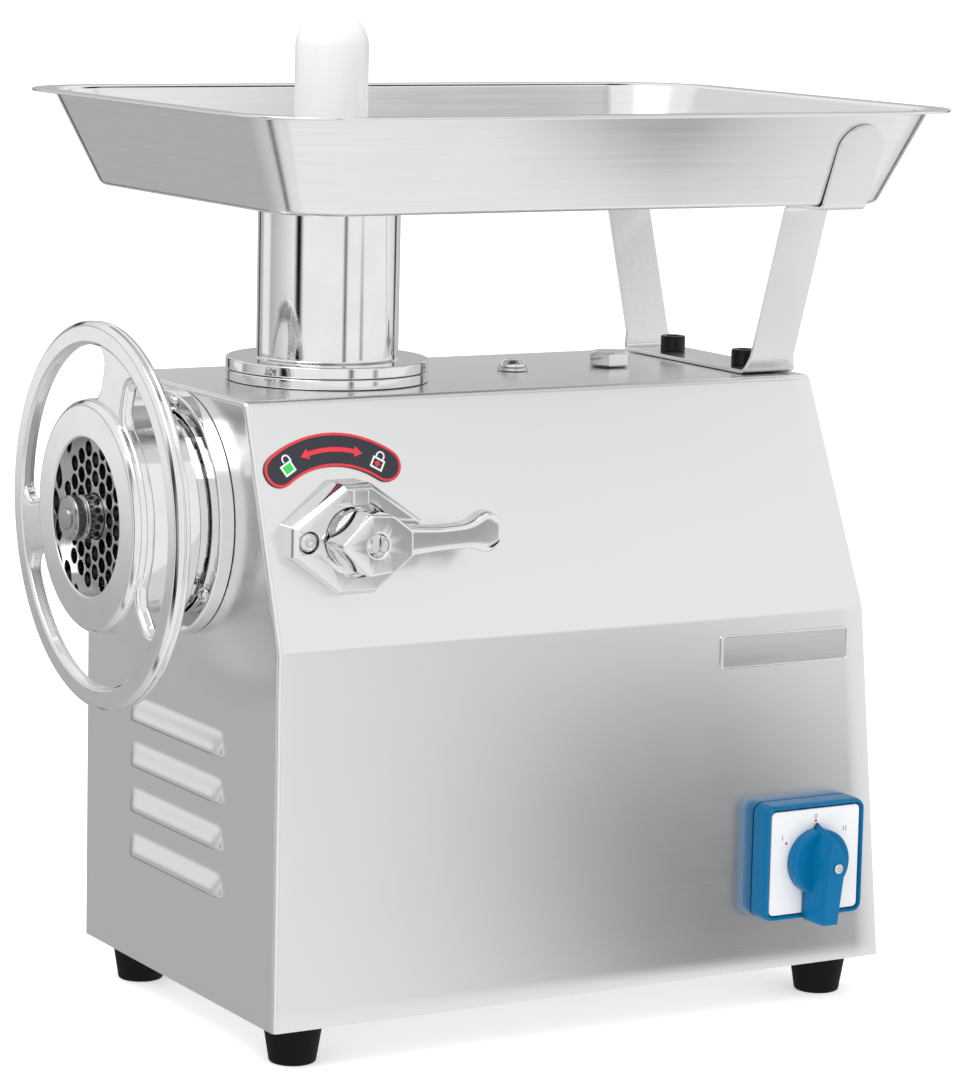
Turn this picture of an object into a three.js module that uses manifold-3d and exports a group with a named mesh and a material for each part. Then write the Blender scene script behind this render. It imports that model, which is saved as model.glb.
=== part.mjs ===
// Electric meat grinder with a pull-out grinding head, in millimetres, +Z up.
// The outlet faces -Y and the controls are on the +X side. The finished group's origin is the
// middle of its footprint on the floor.

import * as THREE from 'three';
import { mergeVertices } from 'three/addons/utils/BufferGeometryUtils.js';
import Module from 'manifold-3d';

// ---- Fits and stock -----------------------------------------------------
const gap = 0.3;                  // air between two pieces that touch
const runningGap = 0.5;           // radial air round what turns or slides
const sheet = 1.5;                // housing and cover steel
const screwAir = 0.3;             // radial air round a screw's shank

// ---- Housing ------------------------------------------------------------
const housingWidth = 215.4;
const housingLength = 352.3;      // along the floor
const housingHeight = 300;        // underside to lid
const foldHeight = 185;           // the sides lean in above this
const lidWidth = 137;
const rearLean = 28;              // the back panel comes forward by this at the lid
const louvreLength = 103;
const louvreHeight = 13;
const louvreDepth = 5;
const louvrePitch = 23.4;
const louvreFirst = 54.5;
const louvreCount = 4;
const louvreSkin = 1.2;
const coverScrewInset = 14;
const coverTab = 26;
const coverScrewRadius = 2;
const coverHeadRadius = 4;
const baseThickness = 2;
const footInset = 22;
const footHeight = 21;
const footTopRadius = 14.5;
const footTipRadius = 11.5;
const glandRadius = 8;
const glandFromSide = 25.7;
const glandHeight = 42;

// ---- Head ---------------------------------------------------------------
const barrelRadius = 50;
const barrelBore = 31;
const barrelFront = -40;          // measured from the front panel
const barrelRear = 124;
const collarWidth = 10;
const collarDepth = 8;
const seatWall = 5.5;
const lidClearance = 4.6;         // seat to the inside of the lid
const plateRadius = 41;
const plateThickness = 8;
const plateHole = 3.9;
const platePitch = 9.2;
const plateHub = 15.5;            // no holes inside this radius
const knifeThickness = 9;
const knifeReach = 37;
const threadWall = 7;
const threadEnd = -16;            // the nut's rear edge
const nutWall = 8.5;
const nutLip = 5;
const nutOpening = 38.7;
const wheelRadius = 95;
const wheelRimWidth = 11.5;
const wheelRimDepth = 8.5;
const wheelSet = 3.5;             // rim's front face behind the nut's face
const spokeCount = 3;
const spokeAngle = 72;            // of the first, seen from the front
const spokeWidth = 27;
const spokeDepth = 6;
const studRadius = 11;
const studReach = 15;             // in front of the hole plate
const driveSquare = 14;           // auger tang and knife seat, across flats
const flightRadius = 30.3;
const flightPitch = 30;
const flightThickness = 5;
const coreRadius = 15;
const tangLength = 17;

// ---- Feed ---------------------------------------------------------------
const tubeCentre = 80.6;          // behind the front panel
const tubeRadius = 35.4;
const tubeWall = 2.2;
const flangeWidth = 15.2;
const flangeThickness = 5.7;
const lidRingThickness = 5;
const trayBottomHeight = 91;      // above the lid
const trayLength = 405;
const trayWidth = 298;
const trayDepth = 47.9;
const trayLip = 11.5;
const trayInset = 20.5;             // how far the walls come in from lip to floor
const trayCornerRadius = 38.5;
const tubeFromTrayFront = 112.2;
const traySheet = 1.2;
const spigotLength = 16;
const spigotWall = 1.5;
const pusherRadius = 18.2;
const pusherTop = 183;            // above the lid
const pusherFootTop = 84;
const pusherFootBottom = -2;
const bracketWidth = 26;
const bracketBaseWidth = 31;
const bracketSheet = 2;
const bracketFromTrayRear = 66.3;
const bracketFromLidRear = 17.3;
const bracketBendFromLidEdge = 11.5;
const bracketTopBelowLip = 7;

// ---- Lid furniture --------------------------------------------------------
const lidScrewPlace = 188;
const plugPlace = 246;
const plugAcrossCorners = 23.4;
const plugHeight = 8;
const socketHeadRadius = 6.5;
const socketHeadHeight = 8;
const boltRadius = 4;
const bracketScrewPlace = 34;

// ---- Clamp ----------------------------------------------------------------
const clampPlace = 45;            // behind the front panel
const clampDrop = 1.9;            // below the head's axis
const clampHalfWidth = 35;
const clampHalfHeight = 26.5;
const clampProud = 2.7;           // out of the slope at its lower edge
const clampPocketRadius = 18;
const clampPocketDepth = 6;
const clampScrewPlace = 26.3;
const leverHubDepth = 18;
const leverArmDepth = 11;
const spindleRadius = 8;
const spindleStroke = 2.1;        // drawn back when the lever is open
const stopPinRadius = 3;

// ---- Switch and plates ------------------------------------------------------
const switchSize = 60;
const switchDepth = 13.5;
const switchFromRear = 50;
const switchHeight = 58;
const switchPlateSize = 50;
const switchPlateRecess = 1;
const switchBodySize = 44;
const switchBodyDepth = 34;
const knobRadius = 17;
const knobBaseDepth = 7;
const knobDepth = 22;
const knobPointer = 20.5;
const knobTail = 31;
const nameplateLength = 77;
const nameplateHeight = 17;
const nameplateFromRear = 64.8;
const nameplateBelowFold = 18;
const plateSheet = 1.2;
const arcRadius = 50;
const arcHalfWidth = 8.2;
const arcBelowLever = 7.7;        // the arc's centre, down the slope from the lever's axis
const arcAheadOfLever = 3;
const arcHalfAngle = 35;

// ---- Drive ------------------------------------------------------------------
const motorTeeth = 11;
const wheelTeeth = 34;
const pinionTeeth = 13;
const outputTeeth = 32;
const gearClearance = 2;
const caseWall = 5;
const caseFrontWall = 14;
const caseDepth = 60;
const coverThickness = 10;
const outputShaftRadius = 20;
const bearingWall = 13.5;
const motorShaftRadius = 9;
const wiringRoom = 8;
const motorCooling = 42;          // free room ahead of the back panel
const statorWall = 26;
const rotorAir = 0.7;
const bellThickness = 12;
const fanThickness = 12;
const capacitorRadius = 17.5;
const capacitorLength = 70;
const cradleWidth = 70;

// ---- Worked out from the above ------------------------------------------------
const slope = Math.atan2((housingWidth - lidWidth) / 2, housingHeight - foldHeight);
const lean = Math.atan2(rearLean, housingHeight);
const headDrop = barrelRadius + runningGap + seatWall + lidClearance + sheet;
const headAxis = housingHeight - headDrop;
const collarRadius = barrelRadius + runningGap + collarWidth;
const threadRadius = plateRadius + runningGap + threadWall;
const nutRadius = threadRadius + runningGap + nutWall;
const plateFront = barrelFront - 5.7;
const nutFront = plateFront - gap - nutLip;
const plateRear = plateFront + plateThickness;
const knifeRear = plateRear + gap + knifeThickness;
const augerFront = knifeRear + gap;
const augerRear = barrelRear - 12;
const seatRear = barrelRear + 2;
const caseFront = seatRear + 2;
const caseRear = caseFront + caseDepth;
const coverFront = caseRear + gap;
const coverRear = coverFront + coverThickness;
const gearModule = (headDrop - sheet - 1 - caseWall - gearClearance) / (outputTeeth / 2 + 1);
const firstDistance = gearModule * (motorTeeth + wheelTeeth) / 2;
const secondDistance = gearModule * (pinionTeeth + outputTeeth) / 2;
const shaftDistance = firstDistance + secondDistance;
const motorAxis = headAxis - shaftDistance;
const motorRadius = Math.min(
  housingWidth / 2 - sheet - switchBodyDepth - wiringRoom,
  motorAxis - baseThickness - wiringRoom,
);
const rearAtMotor = housingLength - motorAxis * Math.tan(lean) - 2 * sheet;
const statorFront = coverRear + gap;
const statorRear = rearAtMotor - motorCooling - bellThickness;
const flangeRadius = tubeRadius + flangeWidth;
const trayFront = tubeCentre - tubeFromTrayFront;
const trayRear = trayFront + trayLength;
const lidRear = housingLength - rearLean;
const bracketPlace = Math.min(trayRear - bracketFromTrayRear, lidRear - bracketFromLidRear);
const clampHeight = headAxis - clampDrop;
const clampFace = slopeSurface(clampHeight - clampHalfHeight) + clampProud;
const leverFront = clampFace + 20;
const arcRise = (clampHeight - foldHeight) / Math.cos(slope) - arcBelowLever;
const glandPlace = glandFromSide - housingWidth / 2;

/** Half the housing's width at a height above the fold. */
function slopeSurface(height) {
  return housingWidth / 2 - (height - foldHeight) * Math.tan(slope);
}

// ---- Materials ------------------------------------------------------------------
function metal(color, roughness) {
  return new THREE.MeshStandardMaterial({ color, roughness, metalness: 1 });
}
function plastic(color, roughness) {
  return new THREE.MeshStandardMaterial({ color, roughness, metalness: 0 });
}
const brushedSteel = metal(0xc9cbcc, 0.34);
const polishedSteel = metal(0xdcdedf, 0.1);
const castAluminium = metal(0xa9abad, 0.5);
const gearSteel = metal(0x8a8c8e, 0.4);
const blackOxide = metal(0x1c1c1e, 0.45);
const copperWinding = metal(0x6f6a66, 0.6);
const blackRubber = plastic(0x17181a, 0.75);
const bluePlastic = plastic(0x0072b4, 0.3);
const whitePlastic = plastic(0xf1f1ef, 0.45);
const darkPlastic = plastic(0x2b2f36, 0.5);

// ---- Geometry helpers -------------------------------------------------------------
const wasm = await Module();
wasm.setup();

/** The closed solid that a geometry's triangles bound. */
function solidOf(geometry) {
  const bare = geometry.clone();
  bare.deleteAttribute('normal');
  bare.deleteAttribute('uv');
  const merged = mergeVertices(bare, 1e-4);
  const corners = merged.index.array;
  const kept = [];
  for (let i = 0; i < corners.length; i += 3) {
    const [a, b, c] = corners.slice(i, i + 3);
    if (a !== b && b !== c && c !== a) kept.push(a, b, c);
  }
  const vertProperties = new Float32Array(merged.attributes.position.array);
  return new wasm.Manifold(new wasm.Mesh({ numProp: 3, vertProperties, triVerts: Uint32Array.from(kept) }));
}

/** The geometry of a solid's surface. */
function geometryOf(solid) {
  const { vertProperties, triVerts } = solid.getMesh();
  const geometry = new THREE.BufferGeometry();
  geometry.setAttribute('position', new THREE.BufferAttribute(new Float32Array(vertProperties), 3));
  geometry.setIndex(new THREE.BufferAttribute(new Uint32Array(triVerts), 1));
  return geometry;
}

function joined(...geometries) {
  return geometryOf(geometries.map(solidOf).reduce((sum, next) => sum.add(next)));
}

function cut(geometry, ...tools) {
  return geometryOf(tools.map(solidOf).reduce((rest, tool) => rest.subtract(tool), solidOf(geometry)));
}

function common(geometry, other) {
  return geometryOf(solidOf(geometry).intersect(solidOf(other)));
}

/** Six times the volume inside the triangles, negative when they face inwards. */
function signedVolume(geometry) {
  const place = geometry.attributes.position;
  const [a, b, c] = [new THREE.Vector3(), new THREE.Vector3(), new THREE.Vector3()];
  let sum = 0;
  for (let i = 0; i < geometry.index.count; i += 3) {
    a.fromBufferAttribute(place, geometry.index.getX(i));
    b.fromBufferAttribute(place, geometry.index.getX(i + 1));
    c.fromBufferAttribute(place, geometry.index.getX(i + 2));
    sum += a.dot(b.cross(c));
  }
  return sum;
}

/** The same closed surface with its faces pointing out. */
function outward(geometry) {
  if (signedVolume(geometry) > 0) return geometry;
  const index = geometry.index;
  for (let i = 0; i < index.count; i += 3) {
    const first = index.getX(i);
    index.setX(i, index.getX(i + 1));
    index.setX(i + 1, first);
  }
  return geometry;
}

/** A solid turned about an axis. The profile's points are [radius, place along the axis]. */
function turned(profile, axis = 'z', segments = 32) {
  const points = profile.map(([radius, along]) => new THREE.Vector2(radius, along));
  const onAxis = points[0].x === 0 && points.at(-1).x === 0;
  if (!onAxis) points.push(points[0].clone());
  const geometry = outward(new THREE.LatheGeometry(points, segments));
  if (axis === 'z') geometry.rotateX(Math.PI / 2);
  if (axis === 'x') geometry.rotateZ(-Math.PI / 2);
  return geometry;
}

/** A round bar along an axis, or a many-sided one. */
function bar(axis, radius, from, to, segments = 24) {
  return turned([[0, from], [radius, from], [radius, to], [0, to]], axis, segments);
}

/** A round tube or washer along an axis. */
function ring(axis, inner, outer, from, to, segments = 32) {
  return turned([[inner, from], [outer, from], [outer, to], [inner, to]], axis, segments);
}

function shapeOf(outline) {
  if (outline instanceof THREE.Shape) return outline;
  return new THREE.Shape(outline.map(([u, v]) => new THREE.Vector2(u, v)));
}

/** An outline carried along an axis. Its points hold the other two coordinates, in x, y, z order. */
function prism(outline, axis, from, to, curveSegments = 5) {
  const options = { depth: to - from, bevelEnabled: false, curveSegments };
  const geometry = new THREE.ExtrudeGeometry(shapeOf(outline), options);
  if (axis === 'z') return geometry.translate(0, 0, from);
  if (axis === 'y') return geometry.rotateX(Math.PI / 2).translate(0, to, 0);
  const [toY, toZ, toX] = [[0, 1, 0], [0, 0, 1], [1, 0, 0]].map((v) => new THREE.Vector3(...v));
  return geometry.applyMatrix4(new THREE.Matrix4().makeBasis(toY, toZ, toX)).translate(from, 0, 0);
}

function box(x0, x1, y0, y1, z0, z1) {
  const geometry = new THREE.BoxGeometry(x1 - x0, y1 - y0, z1 - z0);
  return geometry.translate((x0 + x1) / 2, (y0 + y1) / 2, (z0 + z1) / 2);
}

/** A rectangle with round corners, from (u0, v0) to (u1, v1). */
function roundedRectangle(u0, u1, v0, v1, radius) {
  const shape = new THREE.Shape();
  shape.moveTo(u0 + radius, v0);
  shape.absarc(u1 - radius, v0 + radius, radius, -Math.PI / 2, 0);
  shape.absarc(u1 - radius, v1 - radius, radius, 0, Math.PI / 2);
  shape.absarc(u0 + radius, v1 - radius, radius, Math.PI / 2, Math.PI);
  shape.absarc(u0 + radius, v0 + radius, radius, Math.PI, 1.5 * Math.PI);
  return shape;
}

/** A flat strip's outline: a path of points, thickened evenly to its left. */
function ribbon(path, thickness) {
  const points = path.map(([u, v]) => new THREE.Vector2(u, v));
  const normals = points.slice(1).map((point, i) => {
    const along = point.clone().sub(points[i]).normalize();
    return new THREE.Vector2(-along.y, along.x);
  });
  const offset = points.map((point, i) => {
    const before = normals[Math.max(i - 1, 0)];
    const after = normals[Math.min(i, normals.length - 1)];
    const middle = before.clone().add(after).normalize();
    return point.clone().addScaledVector(middle, thickness / middle.dot(after));
  });
  return new THREE.Shape([...points, ...offset.reverse()]);
}

/** The convex outline round a set of circles, given as [u, v, radius]. */
function hullOutline(circles, steps = 28) {
  const points = circles.flatMap(([u, v, radius]) => Array.from({ length: steps }, (_, i) => {
    const angle = (2 * Math.PI * i) / steps;
    return [u + radius * Math.cos(angle), v + radius * Math.sin(angle)];
  }));
  points.sort((a, b) => a[0] - b[0] || a[1] - b[1]);
  const half = (list) => {
    const chain = [];
    for (const p of list) {
      while (chain.length > 1 && turn(chain.at(-2), chain.at(-1), p) <= 1e-6) chain.pop();
      chain.push(p);
    }
    return chain.slice(0, -1);
  };
  return [...half(points), ...half(points.reverse())];
}

function turn(a, b, c) {
  return (b[0] - a[0]) * (c[1] - a[1]) - (b[1] - a[1]) * (c[0] - a[0]);
}

const grinder = new THREE.Group();

/** A group at a place, turned by angles about x, y and z. */
function groupAt(parent, x, y, z, turnX = 0, turnY = 0, turnZ = 0) {
  const group = new THREE.Group();
  group.position.set(x, y, z);
  group.rotation.set(turnX, turnY, turnZ);
  parent.add(group);
  return group;
}

function place(parent, name, geometry, material, x = 0, y = 0, z = 0) {
  const mesh = new THREE.Mesh(geometry, material);
  mesh.name = name;
  mesh.position.set(x, y, z);
  parent.add(mesh);
}

// ---- Housing ------------------------------------------------------------------------

/** The housing's cross-section, in from its outside by an even inset. */
function housingSection(inset, bottom = 0) {
  const side = housingWidth / 2 - inset;
  const fold = foldHeight - inset * Math.tan(slope / 2);
  const lidHalf = lidWidth / 2 - inset * Math.tan(Math.PI / 4 - slope / 2);
  const top = housingHeight - inset;
  return [[-side, bottom], [side, bottom], [side, fold], [lidHalf, top], [-lidHalf, top], [-side, fold]];
}

/** The housing's side view between two distances ahead of the leaning back plane. */
function backSlab(ahead, behind) {
  const back = (height, shift) => housingLength - height * Math.tan(lean) - shift / Math.cos(lean);
  const [low, high] = [-footHeight, housingHeight + footHeight];
  return [[back(low, ahead), low], [back(low, behind), low], [back(high, behind), high], [back(high, ahead), high]];
}

/** A pressed louvre on the plane y = 0, open below: its hood, and the air inside it. */
function louvre() {
  const half = louvreLength / 2;
  const [skin, top] = [louvreSkin, louvreHeight];
  const shoulder = louvreHeight * 0.4;
  const hood = prism([[0.5, 0], [-louvreDepth, 0], [-louvreDepth, shoulder], [0.5, top]], 'x', -half, half);
  const deep = louvreDepth - skin;
  const inside = [[sheet + 1, skin], [0, skin], [0, -1], [-deep, -1], [-deep, shoulder - skin / 2],
    [0, top - 2 * skin], [sheet + 1, top - 2 * skin]];
  return { hood, air: prism(inside.reverse(), 'x', skin - half, half - skin) };
}

/** A wall with a column of louvres pressed out of it, placed by the given function. */
function withLouvres(wall, putInPlace) {
  const hoods = [];
  const airs = [];
  for (let i = 0; i < louvreCount; i += 1) {
    const { hood, air } = louvre();
    hoods.push(putInPlace(hood.translate(0, 0, louvreFirst + i * louvrePitch)));
    airs.push(putInPlace(air.translate(0, 0, louvreFirst + i * louvrePitch)));
  }
  return cut(joined(wall, ...hoods), ...airs);
}

/** Places on the back plane for its four screws, as [x, distance up the plane]. */
function coverScrewPlaces() {
  const side = housingWidth / 2 - coverScrewInset;
  const lidSide = lidWidth / 2 - coverScrewInset;
  const up = housingHeight / Math.cos(lean) - coverScrewInset;
  return [[-side, coverScrewInset], [side, coverScrewInset], [-lidSide, up], [lidSide, up]];
}

/** From the plane y = 0, facing -Y, to the leaning back plane, facing out. */
function toBack(geometry) {
  return geometry.rotateZ(Math.PI).rotateX(lean).translate(0, housingLength, 0);
}

function housingShell() {
  const depth = housingLength + 1;
  const outside = common(
    prism(housingSection(0), 'y', 0, depth),
    prism(backSlab(housingLength, 0), 'x', -housingWidth, housingWidth),
  );
  let shell = cut(outside, prism(housingSection(sheet, -1), 'y', sheet, depth));
  shell = joined(shell, common(coverTabs(), prism(housingSection(sheet / 2), 'y', sheet, depth)));
  shell = withLouvres(shell, (geometry) => geometry);
  const slopeHole = bar('x', clampPocketRadius + 4, housingWidth / 4, housingWidth);
  const bodyHalf = switchBodySize / 2 + 1;
  const [switchY, switchZ] = [housingLength - switchFromRear, switchHeight];
  return cut(
    shell,
    bar('y', barrelRadius + runningGap + 1, -1, sheet + 1, 36).translate(0, 0, headAxis),
    bar('z', tubeRadius + runningGap + 1, -sheet - 1, 1, 36).translate(0, tubeCentre, housingHeight),
    slopeHole.translate(0, clampPlace, clampHeight),
    box(housingWidth / 4, housingWidth, switchY - bodyHalf, switchY + bodyHalf, switchZ - bodyHalf, switchZ + bodyHalf),
    ...lidHoles(),
    ...[-clampScrewPlace, clampScrewPlace].map((y) => (
      bar('x', 3 + screwAir, housingWidth / 4, housingWidth, 12).translate(0, clampPlace + y, clampHeight))),
    ...coverScrewPlaces().map(([x, up]) => toBack(bar('y', coverScrewRadius + screwAir, 0, 8, 12).translate(-x, 0, up))),
  );
}

function lidHoles() {
  const hole = (radius, x, y) => bar('z', radius, -2 * sheet, 1, 12).translate(x, y, housingHeight);
  return [
    hole(boltRadius + screwAir, 0, lidScrewPlace),
    hole(boltRadius + 2 + screwAir, 0, plugPlace),
    hole(boltRadius + screwAir, -bracketScrewPlace, bracketPlace),
    hole(boltRadius + screwAir, bracketScrewPlace, bracketPlace),
  ];
}

/** Corner tabs inside the shell's open back, which the back panel's screws bite into. */
function coverTabs() {
  const half = coverTab / 2;
  const tabs = coverScrewPlaces().map(([x, up]) => {
    const outerX = x + Math.sign(x) * (half + sheet);
    const [x0, x1] = [Math.min(x - Math.sign(x) * half, outerX), Math.max(x - Math.sign(x) * half, outerX)];
    const front = sheet + gap;
    const upper = up > housingHeight / 2;
    const [low, high] = upper ? [up - half, up + 2 * half] : [Math.max(up - half, sheet + 2), up + half];
    return toBack(box(-x1, -x0, front, front + sheet, low, high));
  });
  return joined(...tabs);
}

function backPanel() {
  const plate = common(
    prism(housingSection(sheet + gap, baseThickness + gap), 'y', 0, housingLength + 1),
    prism(backSlab(sheet, 0), 'x', -housingWidth, housingWidth),
  );
  return cut(
    withLouvres(plate, toBack),
    ...coverScrewPlaces().map(([x, up]) => toBack(bar('y', coverScrewRadius + screwAir, -1, 8, 12).translate(-x, 0, up))),
    toBack(bar('y', glandRadius + gap, -1, 8, 20).translate(-glandPlace, 0, glandHeight)),
  );
}

function cableGland() {
  const flats = 6;
  const body = joined(
    turned([[0, -14], [7, -14], [9.5, -9], [9.5, -8], [0, -8]], 'y', 20),
    bar('y', 13, -8.2, -gap, flats),
    bar('y', glandRadius, -1, 9, 20),
  );
  return cut(toBack(body.translate(-glandPlace, 0, glandHeight)),
    toBack(bar('y', 4.2, -20, 20, 16).translate(-glandPlace, 0, glandHeight)));
}

function coverScrew() {
  return turned([[0, -2.6], [2.6, -2.4], [coverHeadRadius, -1], [coverHeadRadius, -gap], [coverScrewRadius, -gap],
    [coverScrewRadius, 7], [0, 7]], 'y', 10);
}

function basePlate() {
  const half = housingWidth / 2 - sheet - gap;
  const slots = [];
  for (let i = 0; i < 6; i += 1) {
    const y = statorFront + 12 * i;
    slots.push(box(-30, 30, y, y + 5, -1, baseThickness + 1));
  }
  const plate = box(-half, half, sheet + gap, housingLength - sheet - gap, gap, baseThickness);
  return cut(
    plate,
    ...slots,
    ...footPlaces().map(([x, y]) => bar('z', boltRadius + screwAir, -1, baseThickness + 1, 12).translate(x, y, 0)),
  );
}

function footPlaces() {
  const x = housingWidth / 2 - footInset;
  return [[-x, footInset], [x, footInset], [-x, housingLength - footInset], [x, housingLength - footInset]];
}

/** A tapered rubber foot with its moulded-in stud. */
function foot() {
  return turned([[0, -footHeight], [footTipRadius - 1, -footHeight], [footTipRadius, -footHeight + 1.5],
    [footTopRadius, -1], [footTopRadius, -gap], [boltRadius, -gap], [boltRadius, 9], [0, 9]], 'z', 16);
}

const housing = groupAt(grinder, 0, 0, 0);
place(housing, 'housing_shell', housingShell(), brushedSteel);
place(housing, 'rear_cover', backPanel(), brushedSteel);
place(housing, 'base_plate', basePlate(), brushedSteel);
place(housing, 'cable_gland', cableGland(), darkPlastic);
const footNames = ['front_left', 'front_right', 'rear_left', 'rear_right'];
footPlaces().forEach(([x, y], i) => place(housing, `foot_${footNames[i]}`, foot(), blackRubber, x, y));
const backGroup = groupAt(housing, 0, housingLength, 0, lean, 0, 0);
coverScrewPlaces().forEach(([x, up], i) => {
  place(backGroup, `rear_screw_${i + 1}`, coverScrew().rotateZ(Math.PI), brushedSteel, x, 0, up);
});

// ---- Fasteners ------------------------------------------------------------------------

/** A socket-head screw standing on z = 0, with its shank below. */
function socketScrew(reach) {
  const body = turned([[0, -reach], [boltRadius, -reach], [boltRadius, gap], [socketHeadRadius, gap],
    [socketHeadRadius, socketHeadHeight], [0, socketHeadHeight]], 'z', 20);
  return cut(body, bar('z', 3.6, socketHeadHeight - 4, socketHeadHeight + 1, 6));
}

function lidScrew() {
  const body = turned([[0, -sheet - 0.6], [boltRadius, -sheet - 0.6], [boltRadius, 2 * gap + 1.6], [7, 2 * gap + 1.6],
    [6.4, 4], [4, 5.6], [0, 6]], 'z', 20);
  return cut(body, bar('z', 2.6, 3, 7, 6));
}

function oilPlug() {
  const acrossCorners = plugAcrossCorners / 2;
  return joined(bar('z', acrossCorners, gap, plugHeight, 6), bar('z', boltRadius + 2, -8, 2, 16));
}

/** A small countersunk screw lying along x, its head's face at x = 0. */
function faceScrew(radius, reach) {
  return turned([[0, -reach], [radius / 2, -reach], [radius / 2, -radius / 2], [radius, -0.6], [radius, 0], [0, 0]],
    'x', 14);
}

const lid = groupAt(grinder, 0, 0, housingHeight);
place(lid, 'lid_screw', lidScrew(), brushedSteel, 0, lidScrewPlace);
place(lid, 'lid_washer', ring('z', boltRadius + gap, 8, gap, gap + 1.6, 24), brushedSteel, 0, lidScrewPlace);
place(lid, 'oil_plug', oilPlug(), polishedSteel, 0, plugPlace);

// ---- Feed: tube, tray, bracket and pusher ------------------------------------------------

/** The closed solid between two level rounded rectangles, given as [halfX, y0, y1, radius, z]. */
function frustum(lower, upper, cornerSteps = 6) {
  const loop = ([halfX, y0, y1, radius, z]) => {
    const corners = [[halfX, y1, 0], [-halfX, y1, 1], [-halfX, y0, 2], [halfX, y0, 3]];
    return corners.flatMap(([x, y, quarter]) => {
      const [cx, cy] = [x - Math.sign(x) * radius, y === y1 ? y - radius : y + radius];
      return Array.from({ length: cornerSteps + 1 }, (_, i) => {
        const angle = (quarter + i / cornerSteps) * (Math.PI / 2);
        return [cx + radius * Math.cos(angle), cy + radius * Math.sin(angle), z];
      });
    });
  };
  const [low, high] = [loop(lower), loop(upper)];
  const count = low.length;
  const triangles = [];
  for (let i = 0; i < count; i += 1) {
    const next = (i + 1) % count;
    triangles.push(i, next, count + i, next, count + next, count + i);
    if (i > 0 && next > 0) triangles.push(0, next, i, count, count + i, count + next);
  }
  const geometry = new THREE.BufferGeometry();
  geometry.setAttribute('position', new THREE.Float32BufferAttribute([...low, ...high].flat(), 3));
  geometry.setIndex(triangles);
  return geometry;
}

/** The tray's walls, moved in by an inset, down to a height above the lid. */
function trayBowl(inset, floor, rim) {
  const wall = (comeIn, z) => {
    const radius = trayCornerRadius - comeIn / 2;
    const half = trayWidth / 2 - trayLip - comeIn;
    const [front, rear] = [trayFront + trayLip + comeIn, trayRear - trayLip - comeIn];
    return [half, front - tubeCentre, rear - tubeCentre, radius, z];
  };
  return frustum(wall(trayInset + inset, floor), wall(inset, rim));
}

const trayRim = trayBottomHeight + trayDepth;
const spigotRadius = tubeRadius - tubeWall - gap;

/** The tray in its tube's frame: sloped bowl, flat outward lip, and a neck that drops into the tube. */
function tray() {
  const lipShape = roundedRectangle(-trayWidth / 2, trayWidth / 2, trayFront - tubeCentre, trayRear - tubeCentre,
    trayCornerRadius + trayLip);
  const rim = prism(lipShape, 'z', trayRim - traySheet, trayRim, 6);
  const bowl = joined(trayBowl(0, trayBottomHeight, trayRim), rim);
  const inside = trayBowl(traySheet, trayBottomHeight + traySheet, trayRim + gap / 10);
  const neck = bar('z', spigotRadius, trayBottomHeight - spigotLength, trayBottomHeight + traySheet / 2, 32);
  const bore = bar('z', spigotRadius - spigotWall, trayBottomHeight - spigotLength - 1, trayBottomHeight + 2 * traySheet, 32);
  return cut(joined(cut(bowl, inside), neck), bore);
}

/** The feed tube in its own frame, z = 0 on the lid: saddle-cut over the barrel, flange on the lid ring. */
function feedTube() {
  const axisBelow = headAxis - housingHeight;
  const inner = tubeRadius - tubeWall;
  const bottom = axisBelow + barrelRadius * 0.6;
  const top = trayBottomHeight - gap;
  const flangeBottom = lidRingThickness + 2 * gap;
  const wall = turned([[inner, bottom], [tubeRadius, bottom], [tubeRadius, flangeBottom], [flangeRadius, flangeBottom],
    [flangeRadius, flangeBottom + flangeThickness - 1], [flangeRadius - 1, flangeBottom + flangeThickness],
    [tubeRadius, flangeBottom + flangeThickness], [tubeRadius, top], [inner, top]], 'z', 36);
  const saddle = bar('y', barrelRadius + runningGap, -3 * tubeRadius, 3 * tubeRadius, 48);
  return cut(wall, saddle.translate(0, 0, axisBelow));
}

/** The food pusher in the tube's frame: dome, handle, and a wider foot inside the tube. */
function pusher() {
  const dome = [];
  for (let i = 0; i <= 5; i += 1) {
    const angle = (i / 5) * (Math.PI / 2);
    dome.push([pusherRadius * Math.cos(angle), pusherTop - pusherRadius + pusherRadius * Math.sin(angle)]);
  }
  dome[5][0] = 0;
  const footRadius = spigotRadius - spigotWall - 2;
  return turned([[0, pusherFootBottom], [footRadius - 3, pusherFootBottom], [footRadius, pusherFootBottom + 3],
    [footRadius, pusherFootTop], [pusherRadius, pusherFootTop + 8], ...dome], 'z', 24);
}

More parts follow.
